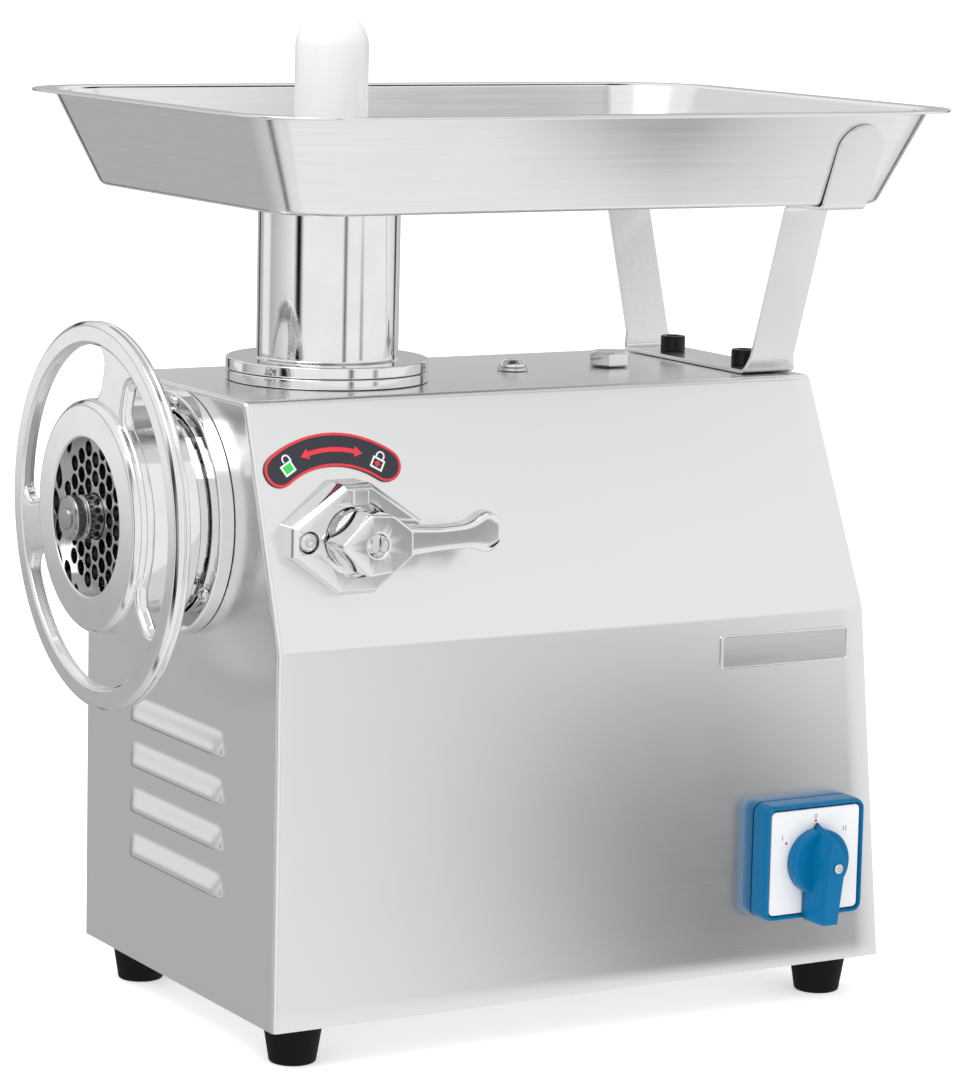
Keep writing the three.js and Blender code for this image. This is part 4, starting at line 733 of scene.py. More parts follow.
tang_profile = [(0, -122), (7, -122), (7, -140.2), (6.3, -141), (0, -141)]
tang_rows = np.array([False, True, True, True, False])
tang = turned(tang_profile, head_place, "y", 96, shape=shaped(tang_rows, squared_off))
auger = piece("auger_screw", turned(stud_profile, head_place, "y", 96), turned(core_profile, head_place, "y", 96),
              surface(head_place + blade, around=True), tang)
fitted(auger, dull_steel, "auger", "polished_steel", "auger")

plate_radius, plate_bore, hole_radius, hole_pitch = 41, 11.5, 3.9, 9.2
plate_loops = [circle(0, 0, plate_radius, 120), circle(0, 0, plate_bore, 48)]
row_rise = hole_pitch * np.sqrt(3) / 2
for row in range(-5, 6):
    for step in range(-6, 7):
        u, v = row * row_rise, (step + abs(row % 2) / 2) * hole_pitch
        if 15.5 < np.hypot(u, v) < 35.8:
            plate_loops.append(circle(u, v, hole_radius, 24))
hole_plate = piece("hole_plate_disc",
    plate(plate_loops, [(0, 37.7), (0, 45.4), (0.1, 45.6), (0.22, 45.7)], head_place, "y"))
fitted(hole_plate, dull_steel, "plate", "brushed_steel", "hole_plate")

# ---- Ring nut and handwheel ----------------------------------------------------------
# One casting, mirror polished: a threaded sleeve whose lip holds the hole plate, three flat
# spokes that flow into hub and rim, and a rim with a flat face, a groove and a bead behind.

nut_front, nut_radius, lip_radius = 51.0, 57.0, 38.7
wheel_front, wheel_radius, rim_width = 47.5, 95.0, 11.5
sleeve_profile = eased([(lip_radius, nut_front - 0.4), (lip_radius + 0.8, nut_front),
    (nut_radius - 2.6, nut_front), (nut_radius, nut_front - 2.6),
                        (nut_radius, 16), (48.5, 16), (48.5, 45.4), (lip_radius, 45.4)],
                        [0.5, 0.5, 2.6, 2.6, 1, 0.8, 0.5, 0.3], 5, closed=True)
hand_in = wheel_radius - rim_width
rim_profile = eased([(hand_in, wheel_front - 1.0), (hand_in + 1.6, wheel_front),
    (wheel_radius - 2.4, wheel_front), (wheel_radius, wheel_front - 2.0),
                     (wheel_radius, wheel_front - 4.0), (wheel_radius - 1.3, wheel_front - 4.8),
                     (wheel_radius - 0.2, wheel_front - 5.6),
                     (wheel_radius - 0.2, wheel_front - 7.2), (wheel_radius - 3, wheel_front - 8.5),
                     (hand_in + 2.5, wheel_front - 7.8),
                     (hand_in, wheel_front - 5)], [1, 1.2, 1.8, 1.6, 0.6, 0.7, 0.8, 1.3, 2.2, 2.2, 1.6],
                     4, closed=True)


def spoke_window(start, end, half, hub, rim_in, fillet):
    """The opening between two spokes: straight along each spoke's side, round with the hub and
    the rim, and filled out at its four corners by arcs that touch both."""
    def side(angle, sign):
        """From hub to rim along one spoke's side, in the wheel's plane."""
        def touching(circle_radius, fillet_radius, steps, outside):
            reach = circle_radius + (fillet_radius if outside else -fillet_radius)
            mid = np.array([np.sqrt(reach**2 - (half + fillet_radius) ** 2), half + fillet_radius])
            on_circle = mid * circle_radius / reach - mid
            on_side = np.array([0.0, -fillet_radius])
            span = np.arccos(np.clip(on_circle @ on_side / fillet_radius**2, -1, 1))
            s = np.linspace(0, 1, steps + 1)[:, None]
            return mid + (np.sin((1 - s) * span) * on_circle + np.sin(s * span) * on_side) / np.sin(span)
        near = touching(hub, fillet[0], 12, True)
        far = touching(rim_in, fillet[1], 12, False)[::-1]
        path = np.concatenate([near, far]) * [1, sign]
        c, s = np.cos(angle), np.sin(angle)
        return path @ np.array([[c, s], [-s, c]])
    first, second = side(start, 1), side(end, -1)
    def between(a, b, radius):
        a, b = np.arctan2(a[1], a[0]), np.arctan2(b[1], b[0])
        b += 2 * np.pi * np.round((a - b) / (2 * np.pi) + (0.5 if b < a else 0))
        if abs(b - a) > np.pi:
            b -= 2 * np.pi * np.sign(b - a)
        t = np.linspace(a, b, 30)[1:-1]
        return radius * np.stack([np.cos(t), np.sin(t)], 1)
    return np.concatenate([first, between(first[-1], second[-1], rim_in), second[::-1],
        between(second[0], first[0], hub)])


spoke_angles = np.radians([72, 192, 312, 432])
spoke_half, hub_fillet, rim_fillet = 13.0, 11.0, 9.0
windows = [spoke_window(a, b, spoke_half, nut_radius + 0.5, hand_in + 0.6, (hub_fillet, rim_fillet)) for a,
    b in zip(spoke_angles, spoke_angles[1:])]
web = plate([circle(0, 0, hand_in + 7, 240), circle(0, 0, 50, 120)] + windows, rim(7.0, 2.0, 2.6, 5),
    head_place + [0, -(wheel_front - 7.6), 0], "y")
wheel = piece("ring_nut_wheel", turned(sleeve_profile, head_place, "y", 192, closed=True),
    turned(rim_profile, head_place, "y", 240, closed=True), web)
fitted(wheel, mirror, "nut", "polished_steel", "ring_nut")

# ---- Clamp: block, lever, pin, screws ------------------------------------------------
# A chromed many-sided block on the leaning side holds the spindle that grips the barrel. Its
# lever has a diamond hub and a waisted arm with a flared end.

clamp_face = box_mm("clamp_block")[1][0]
clamp_place = np.array([0, clamp_y, clamp_z])
block_corners = np.array([(-35, -7.5), (-10, -26.5), (10, -26.5), (35, -7.5), (35, 7.5), (7.5, 26.5),
    (-7.5, 26.5), (-35, 7.5)])
block_outline = lambda inset: eased(block_corners + inset * inward(block_corners), 0.9, 4, closed=True)
bevelled = [(0, -20.0), (0, -2.8), (0.2, -2.3), (1.9, -0.35), (2.3, -0.05), (2.5, 0)]
screw_reach = 26.3
block_holes = [circle(0, 0, 18, 72), circle(-screw_reach, 0, 5.0, 40), circle(screw_reach, 0, 5.0, 40)]
block = piece(
    "clamp_block_body",
    plate([block_outline] + block_holes, bevelled, clamp_place + [clamp_face, 0, 0], "x", hole_share=0.2),
    plate([circle(0, 0, 18.5, 72), circle(0, 0, 8.5, 40)], [(0, -19), (0, -6.2), (0.2, -6)],
    clamp_place + [clamp_face, 0, 0], "x"),
)
fitted(block, mirror, "root", "polished_steel", "clamp_block")
for side, name in ((-screw_reach, "clamp_screw_front"), (screw_reach, "clamp_screw_rear")):
    screw = piece(name + "_head", button_head(4.6, 2.2, 2.0, 1.4, torx,
        clamp_place + [clamp_face - 2.2, side, 0], "x"))
    fitted(screw, bright_screw, "root", "brushed_steel", name)

pin_top = box_mm("clamp_stop_pin")[1][0]
pin_rise = 20.75
pin_place = clamp_place + [clamp_face, 0, pin_rise]
pin_profile = eased([(0, -12), (3, -12), (3, 0.4), (0, 0.4)], [0, 0, 0.2, 0], 3)
pin_bar = eased([(-4.3, -4), (4.3, -4), (4.3, 3.5), (-4.3, 3.5)], 0.8, 4, closed=True)
pin = piece("clamp_stop_pin_head", turned(pin_profile, pin_place, "x", 48),
            plate([pin_bar], rim(pin_top - clamp_face - 0.35, 0.2, 0.5, 3), pin_place + [0.3, 0, 0], "x"))
fitted(pin, mirror, "root", "polished_steel", "clamp_stop_pin")

spindle_low, spindle_high, _ = box_mm("clamp_spindle")
spindle_long = spindle_high[0] - spindle_low[0]
spindle_profile = eased([(0, 0), (6, 0), (8, 3), (8, spindle_long), (0, spindle_long)], [0, 0.5, 0.5, 0.2, 0], 3)
spindle = piece("clamp_spindle_bar", turned(spindle_profile, clamp_place + [spindle_low[0], 0, 0], "x", 64))
fitted(spindle, ground, "spindle", "gear_steel", "clamp_spindle")

lever_front = box_mm("clamp_lever")[1][0]
hub_outline = eased([(-20, 0), (-4, 15), (8, 14.2), (19, 6), (19, -5.5), (8, -13.6), (-4, -15)],
    [2.5, 3, 5, 3, 3, 5, 3], 5, closed=True)
arm_places = [9, 20, 36, 50, 54.5, 58, 61.5, 65, 67.6]
arm_u = np.linspace(9, 67.6, 60)
arm_upper = np.interp(arm_u, arm_places, [10.5, 7.6, 6.3, 7.0, 8.6, 11.4, 12.9, 12.0, 9.0])
arm_lower = np.interp(arm_u, arm_places, [-10.0, -7.0, -5.4, -5.0, -5.4, -6.8, -7.9, -7.4, -4.5])
smooth = np.array([1, 4, 6, 4, 1]) / 16
for _ in range(4):
    arm_upper[2:-2] = np.convolve(arm_upper, smooth, "valid")
    arm_lower[2:-2] = np.convolve(arm_lower, smooth, "valid")
tip = np.sin(np.linspace(0, np.pi / 2, 8))[1:]
arm_u = np.concatenate([arm_u, arm_u[-1] + 1.3 * tip])
shrink = np.concatenate([np.ones(60), np.sqrt(np.maximum(0, 1 - tip**2))])
arm_middle = np.concatenate([(arm_upper + arm_lower) / 2, np.full(7, (arm_upper + arm_lower)[-1] / 2)])
arm_half = np.concatenate([(arm_upper - arm_lower) / 2, np.full(7, (arm_upper - arm_lower)[-1] / 2)])
t = np.arange(64) * 2 * np.pi / 64
squared = lambda a: np.sign(a) * np.abs(a) ** 0.36
arm_margin = 2.2 * (1 - shrink)
arm_grid = np.stack([
    lever_front - 8.9 + (5.75 - arm_margin)[:, None] * squared(np.sin(t)),
    arm_u[:, None] + 0 * t,
    arm_middle[:, None] + (arm_half - arm_margin)[:, None] * squared(np.cos(t)),
], -1)
arm_grid = with_ends(arm_grid)
boss_profile = eased([(0, -5.6), (15, -5.6), (15, 2.4), (0, 2.4)], [0, 0.8, 0.4, 0], 4)
lever = piece(
    "clamp_lever_handle",
    plate([hub_outline, circle(0, 0, 5.5, 48)], rim(18, 1.6, 1.3, 4), clamp_place + [lever_front - 18, 0, 0], "x"),
    surface(clamp_place + arm_grid, around=True),
    plate([circle(0, 0, 5.8, 48)], [(0, 0), (0, 9)], clamp_place + [lever_front - 17, 0, 0], "x"),
    turned(boss_profile, clamp_place + [clamp_face, 0, 0], "x", 96),
)
fitted(lever, mirror, "lever", "polished_steel", "clamp_lever")

# ---- Lever label ---------------------------------------------------------------------
# A printed film on a thin plate, curved round the lever: dark slate with a red border, a red
# double arrow, and an open and a shut padlock in white at its ends.

film_red = moulded("film_red", (0.78, 0.03, 0.05), 0.38, 700, 2e-6)
film_slate = moulded("film_slate", (0.018, 0.022, 0.032), 0.38, 700, 2e-6)
film_white = moulded("film_white", (0.85, 0.86, 0.86), 0.4, 700, 2e-6)
film_green = moulded("film_green", (0.02, 0.62, 0.08), 0.4, 700, 2e-6)
slope_out = np.array([np.cos(side_slope), 0, np.sin(side_slope)])
slope_up = np.array([-np.sin(side_slope), 0, np.cos(side_slope)])
slope_axes = np.array([[0, 1, 0], slope_up, slope_out])
label_radius, label_half_angle = 50, np.radians(35)
arc_below_lever, arc_ahead_of_lever = 7.7, 3
arc_rise = (clamp_z - under_z - fold_up) / np.cos(side_slope) - arc_below_lever
arc_place = np.array([half_side, clamp_y - arc_ahead_of_lever, under_z + fold_up]) + slope_up * arc_rise


def arc_band(radius, half_width, half_angle, count=40):
    """A band bent round the origin's top, with round ends."""
    a = np.linspace(-half_angle, half_angle, count)
    cap = np.linspace(0, np.pi, 14)[1:-1]
    outer = (radius + half_width) * np.stack([np.sin(a), np.cos(a)], 1)
    inner = (radius - half_width) * np.stack([np.sin(a), np.cos(a)], 1)[::-1]

    def end(angle, sign):
        out = np.array([np.sin(angle), np.cos(angle)])
        on = np.array([np.cos(angle), -np.sin(angle)]) * sign
        return radius * out + half_width * (np.cos(cap)[::sign][:, None] * out + np.sin(cap)[:, None] * on)

    return np.concatenate([outer, end(half_angle, 1), inner, end(-half_angle, -1)])


def arc_arrow(radius, half_angle, thin, head, head_angle, count=30):
    """A bent arrow with a head at each end."""
    tail = half_angle - head_angle
    a = np.linspace(-tail, tail, count)
    ring = lambda r, angle: r * np.stack([np.sin(angle), np.cos(angle)], -1)
    tip = lambda sign: ring(radius, np.array([sign * half_angle]))
    return np.concatenate([ring(radius + thin, a), ring(radius + head, np.array([tail])), tip(1),
        ring(radius - head, np.array([tail])),
                           ring(radius - thin, a[::-1]), ring(radius - head, np.array([-tail])), tip(-1),
                           ring(radius + head, np.array([-tail]))])


def flat(loops, low, high, axes=slope_axes, at=arc_place):
    return plate(loops, [(0, low), (0, high)], at, axes)


def padlock(angle, lifted):
    """A padlock's outlines round a middle on the arc: body, window, shackle and mark."""
    c, s = np.cos(-angle), np.sin(-angle)
    turn = np.array([[c, s], [-s, c]])
    middle = label_radius * np.array([np.sin(angle), np.cos(angle)])
    body = np.array([(-3.4, -4.6), (3.4, -4.6), (3.4, 1.2), (-3.4, 1.2)]) @ turn + middle
    window = np.array([(-2.5, -3.7), (2.5, -3.7), (2.5, 0.3), (-2.5, 0.3)]) @ turn + middle
    a = np.linspace(0, np.pi, 14)
    shift = np.array([1.7 if lifted else 0.0, 1.2])
    legs = 0.9 if lifted else 0.2
    far_leg = 0.4 if lifted else -legs
    outer = np.concatenate([[(2.3, -legs)], np.stack([2.3 * np.cos(a), 1.4 + 2.3 * np.sin(a)], 1),
        [(-2.3, far_leg)]])
    inner = np.concatenate([[(-1.5, far_leg)], np.stack([1.5 * np.cos(a), 1.4 + 1.5 * np.sin(a)], 1)[::-1],
        [(1.5, -legs)]])
    shackle = (np.concatenate([outer, inner]) + shift) @ turn + middle
    mark = np.array([(0, -3.4), (1.7, -1.7), (0, 0.0), (-1.7, -1.7)]) @ turn + middle
    return body, window, shackle, mark


label = piece("lever_label_plate", flat([arc_band(label_radius, 8.2, label_half_angle)], 0.3, 1.1))
fitted(label, film_slate, "root", "dark_plastic", "lever_label")
border = piece("lever_label_border", flat([arc_band(label_radius, 8.15, label_half_angle),
    arc_band(label_radius, 6.9, label_half_angle)], 1.0, 1.2))
fitted(border, film_red, "root", "label_red")
arrow = piece("lever_label_arrow", flat([arc_arrow(label_radius, np.radians(19.5), 1.1, 2.7,
    np.radians(5))], 1.0, 1.22))
fitted(arrow, film_red, "root", "label_red")
open_lock, shut_lock = padlock(np.radians(-30), True), padlock(np.radians(30), False)
locks = piece("lever_label_padlocks",
    *[flat(loops, 1.0, 1.22) for lock in (open_lock, shut_lock) for loops in ([lock[0], lock[1]], [lock[2]])])
fitted(locks, film_white, "root", "label_white")
open_fill = piece("lever_label_open_mark", flat([open_lock[1]], 1.0, 1.18))
fitted(open_fill, film_green, "root", "label_green")
shut_fill = piece("lever_label_shut_mark", flat([shut_lock[3]], 1.0, 1.18))
fitted(shut_fill, film_red, "root", "label_red")

# ---- Lid: screw, hex plug, ring ------------------------------------------------------
# A button screw on a washer, the gearbox's filler plug with its hexagon head, and the polished
# ring that the feed tube's flange stands on.

satin_lid = steel("satin_parts", (0.80, 0.805, 0.81), 0.2, 0.02, (6, 700, 700), 2e-6, 0.3)
screw_place = np.array([0, box_mm("lid_washer")[2][1], lid_z])
washer = piece("lid_washer_disc", turned(eased([(4.3, 0.3), (8, 0.3), (8, 1.9), (4.3, 1.9)], 0.3, 3, closed=True),
    screw_place, "z", 72, closed=True))
fitted(washer, bright_screw, "root", "brushed_steel", "lid_washer")
head = piece("lid_screw_head", button_head(7.0, 3.8, 2.5, 2.4, hexagonal, screw_place + [0, 0, 2.2], "z"))
fitted(head, mirror, "root", "brushed_steel", "lid_screw")
plug_place = np.array([0, box_mm("oil_plug")[2][1], lid_z])
plug_profile = eased([(0, 0.3), (8.6, 0.3), (9.9, 0.9), (10.13, 1.6), (10.13, 7.0), (9.2, 7.7), (8.8, 8.0),
    (0, 8.0)], [0, 0.2, 0.3, 0.4, 0.5, 0.3, 0.3, 0], 3)
radii = plug_profile[:, 0]
plug = piece("oil_plug_head", turned(plug_profile, plug_place, "z", 144,
             shape=lambda t, k: np.where(radii[k] > 9.0,
             np.minimum(hexagonal(t), 1.0 + (radii[k] - 9.0) * 0.16), 1 + 0 * t)))
fitted(plug, mirror, "root", "polished_steel", "oil_plug")
tube_place = np.array([0, tube_y, lid_z])
ring = piece("lid_ring_disc", turned(eased([(35.9, 0.3), (50.6, 0.3), (50.6, 5.3), (35.9, 5.3)],
    [0.2, 0.5, 0.9, 0.2], 4, closed=True), tube_place, "z", 144, closed=True))
fitted(ring, mirror, "root", "polished_steel", "lid_ring")

# ---- Tray bracket --------------------------------------------------------------------
# A folded strip of satin steel bolted to the lid. Its arms lean out, run under the tray and up
# its sloping sides, and end round. Two black knurled cap screws hold it.

bracket_place = np.array([0, box_mm("tray_bracket")[2][1], lid_z])
tray_length, tray_width, lip, wall_in, corner_radius = 405.0, 298.0, 11.5, 20.5, 38.5
tray_floor, tray_rim = 91.0, 138.9
tray_deep = tray_rim - tray_floor
strip_sheet, strip_half, tray_gap = 2, 13, 2.6
wall_run = wall_in / tray_deep
bend, shelf = half_lid - 11.5, tray_floor - fitting_gap - strip_sheet
outer_x = lambda z: tray_width / 2 - lip - wall_in + tray_gap * np.hypot(1, wall_run) + (z - tray_floor) * wall_run
arm_path = [(bend, 1.3), (bend + 30, shelf + 1), (outer_x(shelf) + 0.5 - 1, shelf + 1),
    (outer_x(tray_rim - 7) - 1, tray_rim - 7)]
full_path = [(-a, b) for a, b in arm_path[::-1]] + arm_path
strip_line = eased(full_path, [0, 4, 5, 4, 4, 5, 4, 0], 6)
dense = [strip_line[:1]]
for a, b in zip(strip_line, strip_line[1:]):
    n = max(1, int(np.linalg.norm(b - a) / 3))
    dense.append(a + (b - a) * np.linspace(0, 1, n + 1)[1:, None])
strip_line = np.concatenate(dense)
ahead = np.gradient(strip_line, axis=0)
ahead /= np.linalg.norm(ahead, axis=1)[:, None]
run = np.concatenate([[0], np.cumsum(np.linalg.norm(np.diff(strip_line, axis=0), axis=1))])
to_end = np.minimum(run, run[-1] - run)
tip_steps = strip_half * (1 - np.cos(np.linspace(0, np.pi / 2, 14)))
keep = np.sort(np.unique(np.concatenate([tip_steps, run[-1] - tip_steps, run[to_end > strip_half]])))
line = np.stack([np.interp(keep, run, strip_line[:, k]) for k in (0, 1)], 1)
heading = np.stack([np.interp(keep, run, ahead[:, k]) for k in (0, 1)], 1)
heading /= np.linalg.norm(heading, axis=1)[:, None]
to_end = np.minimum(keep, run[-1] - keep)
tip_half = np.sqrt(np.maximum(0, strip_half**2 - (strip_half - to_end) ** 2))
foot_half = strip_half + 2.5 * np.clip((to_end - run[-1] / 2 + bend + 8) / 8, 0, 1)
half_strip = np.where(to_end < strip_half, tip_half, foot_half)
half_strip = np.maximum(half_strip, 0.02)
round_edge = 0.5
t = np.linspace(0, np.pi / 2, 4)
quarter = np.stack([np.sin(t), 1 - np.cos(t)], 1) * round_edge
ring_v = np.concatenate([quarter[:, 1] - 1, 1 - quarter[::-1, 1], 1 - quarter[:, 1], quarter[::-1, 1] - 1])
ring_in = np.concatenate([round_edge - quarter[:, 0], (round_edge - quarter[::-1, 0]),
    (round_edge - quarter[:, 0]), round_edge - quarter[::-1, 0]])
ring_sign = np.concatenate([np.ones(8), -np.ones(8)])
across_y = ring_sign[None, :] * np.maximum(half_strip[:, None] - ring_in[None, :], 0.01)
side_out = np.stack([-heading[:, 1], heading[:, 0]], 1)
strip = bracket_place + np.stack([
    line[:, :1] + side_out[:, :1] * ring_v[None, :],
    across_y,
    line[:, 1:] + side_out[:, 1:] * ring_v[None, :],
], -1)
strip = with_ends(strip)
bracket = piece("tray_bracket_strip", surface(strip, around=True))
fitted(bracket, satin_lid, "root", "brushed_steel", "tray_bracket")

black_screw = steel("black_oxide_screw", (0.028, 0.028, 0.03), 0.34, 0.08, (500, 500, 500), 5e-6)
cap_profile = eased([(0, 0), (6.3, 0), (6.5, 0.4), (6.5, 7.4), (6.1, 8), (3.7, 8), (3.55, 7.8), (3.5, 4.4),
    (0, 4.4)], [0, 0.2, 0.2, 0.6, 0.3, 0.15, 0.1, 0.1, 0], 3)
knurled = (cap_profile[:, 0] > 6.2) & (cap_profile[:, 1] > 0.5) & (cap_profile[:, 1] < 7.2)
hex_socket = (cap_profile[:, 0] < 3.65) & (cap_profile[:, 0] > 0.1) & (cap_profile[:, 1] > 4)


def cap_shape(t, k):
    """Fine ridges round the cap's side and a six-sided socket in its top."""
    socket = np.where(hex_socket[k], hexagonal(t) * 0.93, 1.0)
    return np.where(knurled[k], 1 - 0.022 * (1 + np.cos(36 * t)), socket)


for side, name in ((-34, "bracket_screw_left"), (34, "bracket_screw_right")):
    cap = turned(cap_profile, bracket_place + [side, 0, fitting_gap + strip_sheet], "z", 216, shape=cap_shape)
    screw = piece(name + "_head", cap)
    fitted(screw, black_screw, "root", "black_oxide", name)

# ---- Feed tube -----------------------------------------------------------------------
# A polished tube with a thick flange that stands on the lid's ring. Below the lid it is cut to
# the barrel's curve.

tube_sides = 144
t = np.arange(tube_sides) * 2 * np.pi / tube_sides
saddle = lambda radius: np.sqrt(50.8**2 - (radius * np.cos(t)) ** 2) - (lid_z - axis_z)
tube_in, tube_out, flange_out = 33.2, 35.4, 50.6
tube_profile = eased([(tube_out, 0), (tube_out, 5.6), (flange_out, 5.6), (flange_out, 11.3), (tube_out, 11.3),
    (tube_out, 90.7), (tube_in, 90.7), (tube_in, 0)],
                     [0, 0.3, 0.6, 1.1, 1.4, 0.5, 0.5, 0], 5)
grid = np.repeat(tube_profile[:, None, :], tube_sides, 1)
grid[0, :, 1], grid[-1, :, 1] = saddle(tube_out), saddle(tube_in)
tube_grid = tube_place + np.stack([grid[..., 0] * np.cos(t), grid[..., 0] * np.sin(t), grid[..., 1]], -1)
tube = piece("feed_tube_pipe", surface(tube_grid, around=True, along=True))
fitted(tube, mirror, "tube", "polished_steel", "feed_tube")

# ---- Tray ----------------------------------------------------------------------------
# A deep-drawn tray of polished sheet: flat lip, sloping walls, conical corners, and a short neck
# that drops into the tube. One surface goes up its outside, over the lip and down its inside.

tray_sheet = 1.2
tray_middle_y = box_mm("tray")[0][1] + tray_length / 2
corner_steps, side_steps, end_steps = 20, 26, 20


def rounded_loop(half_x, half_y, radius, z):
    """A level rounded rectangle about the tray's middle, with the same number of points whatever its size."""
    quarter = np.linspace(0, np.pi / 2, corner_steps + 1)
    points = []
    for k, (sx, sy) in enumerate([(1, 1), (-1, 1), (-1, -1), (1, -1)]):
        a = quarter + k * np.pi / 2
        points.append(np.stack([sx * (half_x - radius) + radius * np.cos(a),
            sy * (half_y - radius) + radius * np.sin(a)], 1))
        nk = [(-1, 1), (-1, -1), (1, -1), (1, 1)][k]
        start = points[-1][-1]
        a0 = (k + 1) * np.pi / 2
        end = np.array([nk[0] * (half_x - radius) + radius * np.cos(a0),
            nk[1] * (half_y - radius) + radius * np.sin(a0)])
        n = end_steps if k % 2 == 0 else side_steps
        points.append(start + (end - start) * np.linspace(0, 1, n + 1)[1:-1, None])
    loop = np.concatenate(points)
    return np.concatenate([loop, np.full((len(loop), 1), z)], 1)


bowl_profile = eased(
    [(-40, 0), (0, 0), (wall_in, tray_deep - tray_sheet), (wall_in + lip, tray_deep - tray_sheet),
     (wall_in + lip, tray_deep), (wall_in - 0.6, tray_deep), (-0.5, tray_sheet), (-40, tray_sheet)],
    [0, 4.0, 2.2, 0.5, 0.5, 3.2, 3.4, 0], 6,
)
rings = []
for out, z in bowl_profile:
    share = np.clip(z / tray_deep, 0, 1)
    radius = corner_radius - wall_in / 2 + share * wall_in / 2 + max(out - wall_in, 0)
    half_x, half_y = tray_width / 2 - lip - wall_in + out, tray_length / 2 - lip - wall_in + out
    if out < 0:
        radius = max(radius + out, 12)
    rings.append(rounded_loop(half_x, half_y, radius, tray_floor + z))
rings = np.array(rings)
rings[..., 1] += tray_middle_y
rings[..., 2] += lid_z
spin = np.arctan2(rings[0, :, 1] - tube_y, rings[0, :, 0])
throat_radius = 36.5
throat = lambda radius, z: np.stack([radius * np.cos(spin), tube_y + radius * np.sin(spin),
    np.full(len(spin), lid_z + z)], -1)
under = [rings[0] + (throat(throat_radius, tray_floor) - rings[0]) * s for s in np.linspace(0.1, 0.9, 6)]
over = [rings[-1] + (throat(throat_radius, tray_floor + tray_sheet) - rings[-1]) * s
    for s in np.linspace(0.1, 0.9, 6)]
neck_out = [throat(r, z) for r, z in eased([(throat_radius, tray_floor), (32.9, tray_floor), (32.9, 75)],
    [0, 1.4, 0], 4)]
neck_in = [throat(r, z) for r, z in eased([(37.5, 92.2), (31.4, 92.2), (31.4, 75)], [0, 5.0, 0], 6)]
tray_grid = np.array(neck_out[::-1] + under[::-1] + list(rings) + over + neck_in)
drawn_steel = steel("drawn_steel", (0.80, 0.80, 0.805), 0.15, 0.03, (9, 9, 500), 2e-6, 0.35)
tray = piece("tray_bowl", surface(tray_grid, around=True, along=True))
fitted(tray, drawn_steel, "tray", "brushed_steel", "tray")

# ---- Pusher --------------------------------------------------------------------------
# A milky white plastic rod with a domed top and a wider foot that fits the tube.

milky = moulded("milky_plastic", (0.86, 0.865, 0.86), 0.32, 260, 3e-6, coat=0.3, glow=0.5)
rod, foot_r, crown = 18.2, 29.4, 183.0
dome = np.stack([rod * np.cos(np.linspace(0, np.pi / 2, 20)),
    crown - rod + rod * np.sin(np.linspace(0, np.pi / 2, 20))], 1)
rod_profile = eased([(0, -2), (26.4, -2), (foot_r, 1), (foot_r, 84), (rod, 92), (rod, crown - rod - 1)],
    [0, 1.5, 1.5, 3, 5, 0], 5)
pusher = piece("pusher_rod", turned(np.concatenate([rod_profile, dome]), tube_place, "z", 96))
fitted(pusher, milky, "pusher", "white_plastic", "pusher")

# ---- Nameplate -----------------------------------------------------------------------
# A blank plate of brushed steel with a thin raised frame.

plate_low, _, plate_middle = box_mm("nameplate")
plate_place = np.array([plate_low[0], plate_middle[1], plate_middle[2]])
name_steel = steel("nameplate_steel", (0.60, 0.60, 0.605), 0.36, 0.06, (14, 14, 2200), 4e-6, 0.5)
rounded_box = lambda du, dv, r: eased([(-du, -dv), (du, -dv), (du, dv), (-du, dv)], r, 5, closed=True)
blank = piece("nameplate_blank", plate([rounded_box(38.0, 8.0, 1.6)], [(0, 0), (0, 0.85)], plate_place, "x"))
fitted(blank, name_steel, "root", "brushed_steel", "nameplate")
name_frame = piece("nameplate_frame",
    plate([rounded_box(38.5, 8.5, 2.0), rounded_box(37.5, 7.5, 1.2)], rim(1.2, 0, 0.3, 3), plate_place, "x"))
fitted(name_frame, mirror, "root", "brushed_steel")

# ---- Switch --------------------------------------------------------------------------
# A blue moulded frame round a white dial plate, with a blue turning knob: a round base and a
# tapered grip whose screw sits on its ridge. Red dots and plain strokes mark the positions.

blue = moulded("blue_plastic", (0.0, 0.135, 0.31), 0.3, 600, 3e-6, coat=0.05, shine=0.12)
dial_white = moulded("dial_white", (0.78, 0.785, 0.80), 0.4, 800, 2e-6)
dial_grey = moulded("dial_grey", (0.20, 0.20, 0.21), 0.5, 800, 2e-6)
dial_place = np.array([half_side, *box_mm("switch_frame")[2][1:]])
wall_levels = [(0.3, 0.3), (0, 0.9), (0, 9.6), (0.15, 11.2), (0.45, 12.4), (0.8, 13.1), (1.15, 13.4), (1.4, 13.5)]
switch_frame = piece(
    "switch_frame_rim",
    plate([rounded_box(30, 30, 5.5), rounded_box(27.2, 27.2, 2.6)], wall_levels, dial_place, "x"),
    plate([rounded_box(28, 28, 4), circle(0, 0, 6, 32)], [(0, 0.4), (0, 9.6)], dial_place, "x"),
)
fitted(switch_frame, blue, "root", "blue_plastic", "switch_frame")
dial = piece("switch_dial", plate([rounded_box(26.9, 26.9, 2.5), circle(0, 0, 6, 40)], rim(2.7, 0, 0.5, 3),
    dial_place + [9.8, 0, 0], "x"))
fitted(dial, dial_white, "root", "white_plastic", "switch_plate")
dots = []
for angle in np.radians([0, -60]):
    spot = circle(20.6 * np.sin(angle), 20.6 * np.cos(angle), 0.85, 20)
    dots.append(plate([spot], [(0, 12.3), (0.15, 12.62)], dial_place, "x"))
marks = piece("switch_dots", *dots)
fitted(marks, film_red, "root", "label_red")
stroke_levels = [(0, 12.3), (0, 12.56)]
narrow = [0.75, 1]
strokes = [plate([circle(0, 23.0, r, 24) * narrow for r in (1.15, 0.75)], stroke_levels, dial_place, "x")]
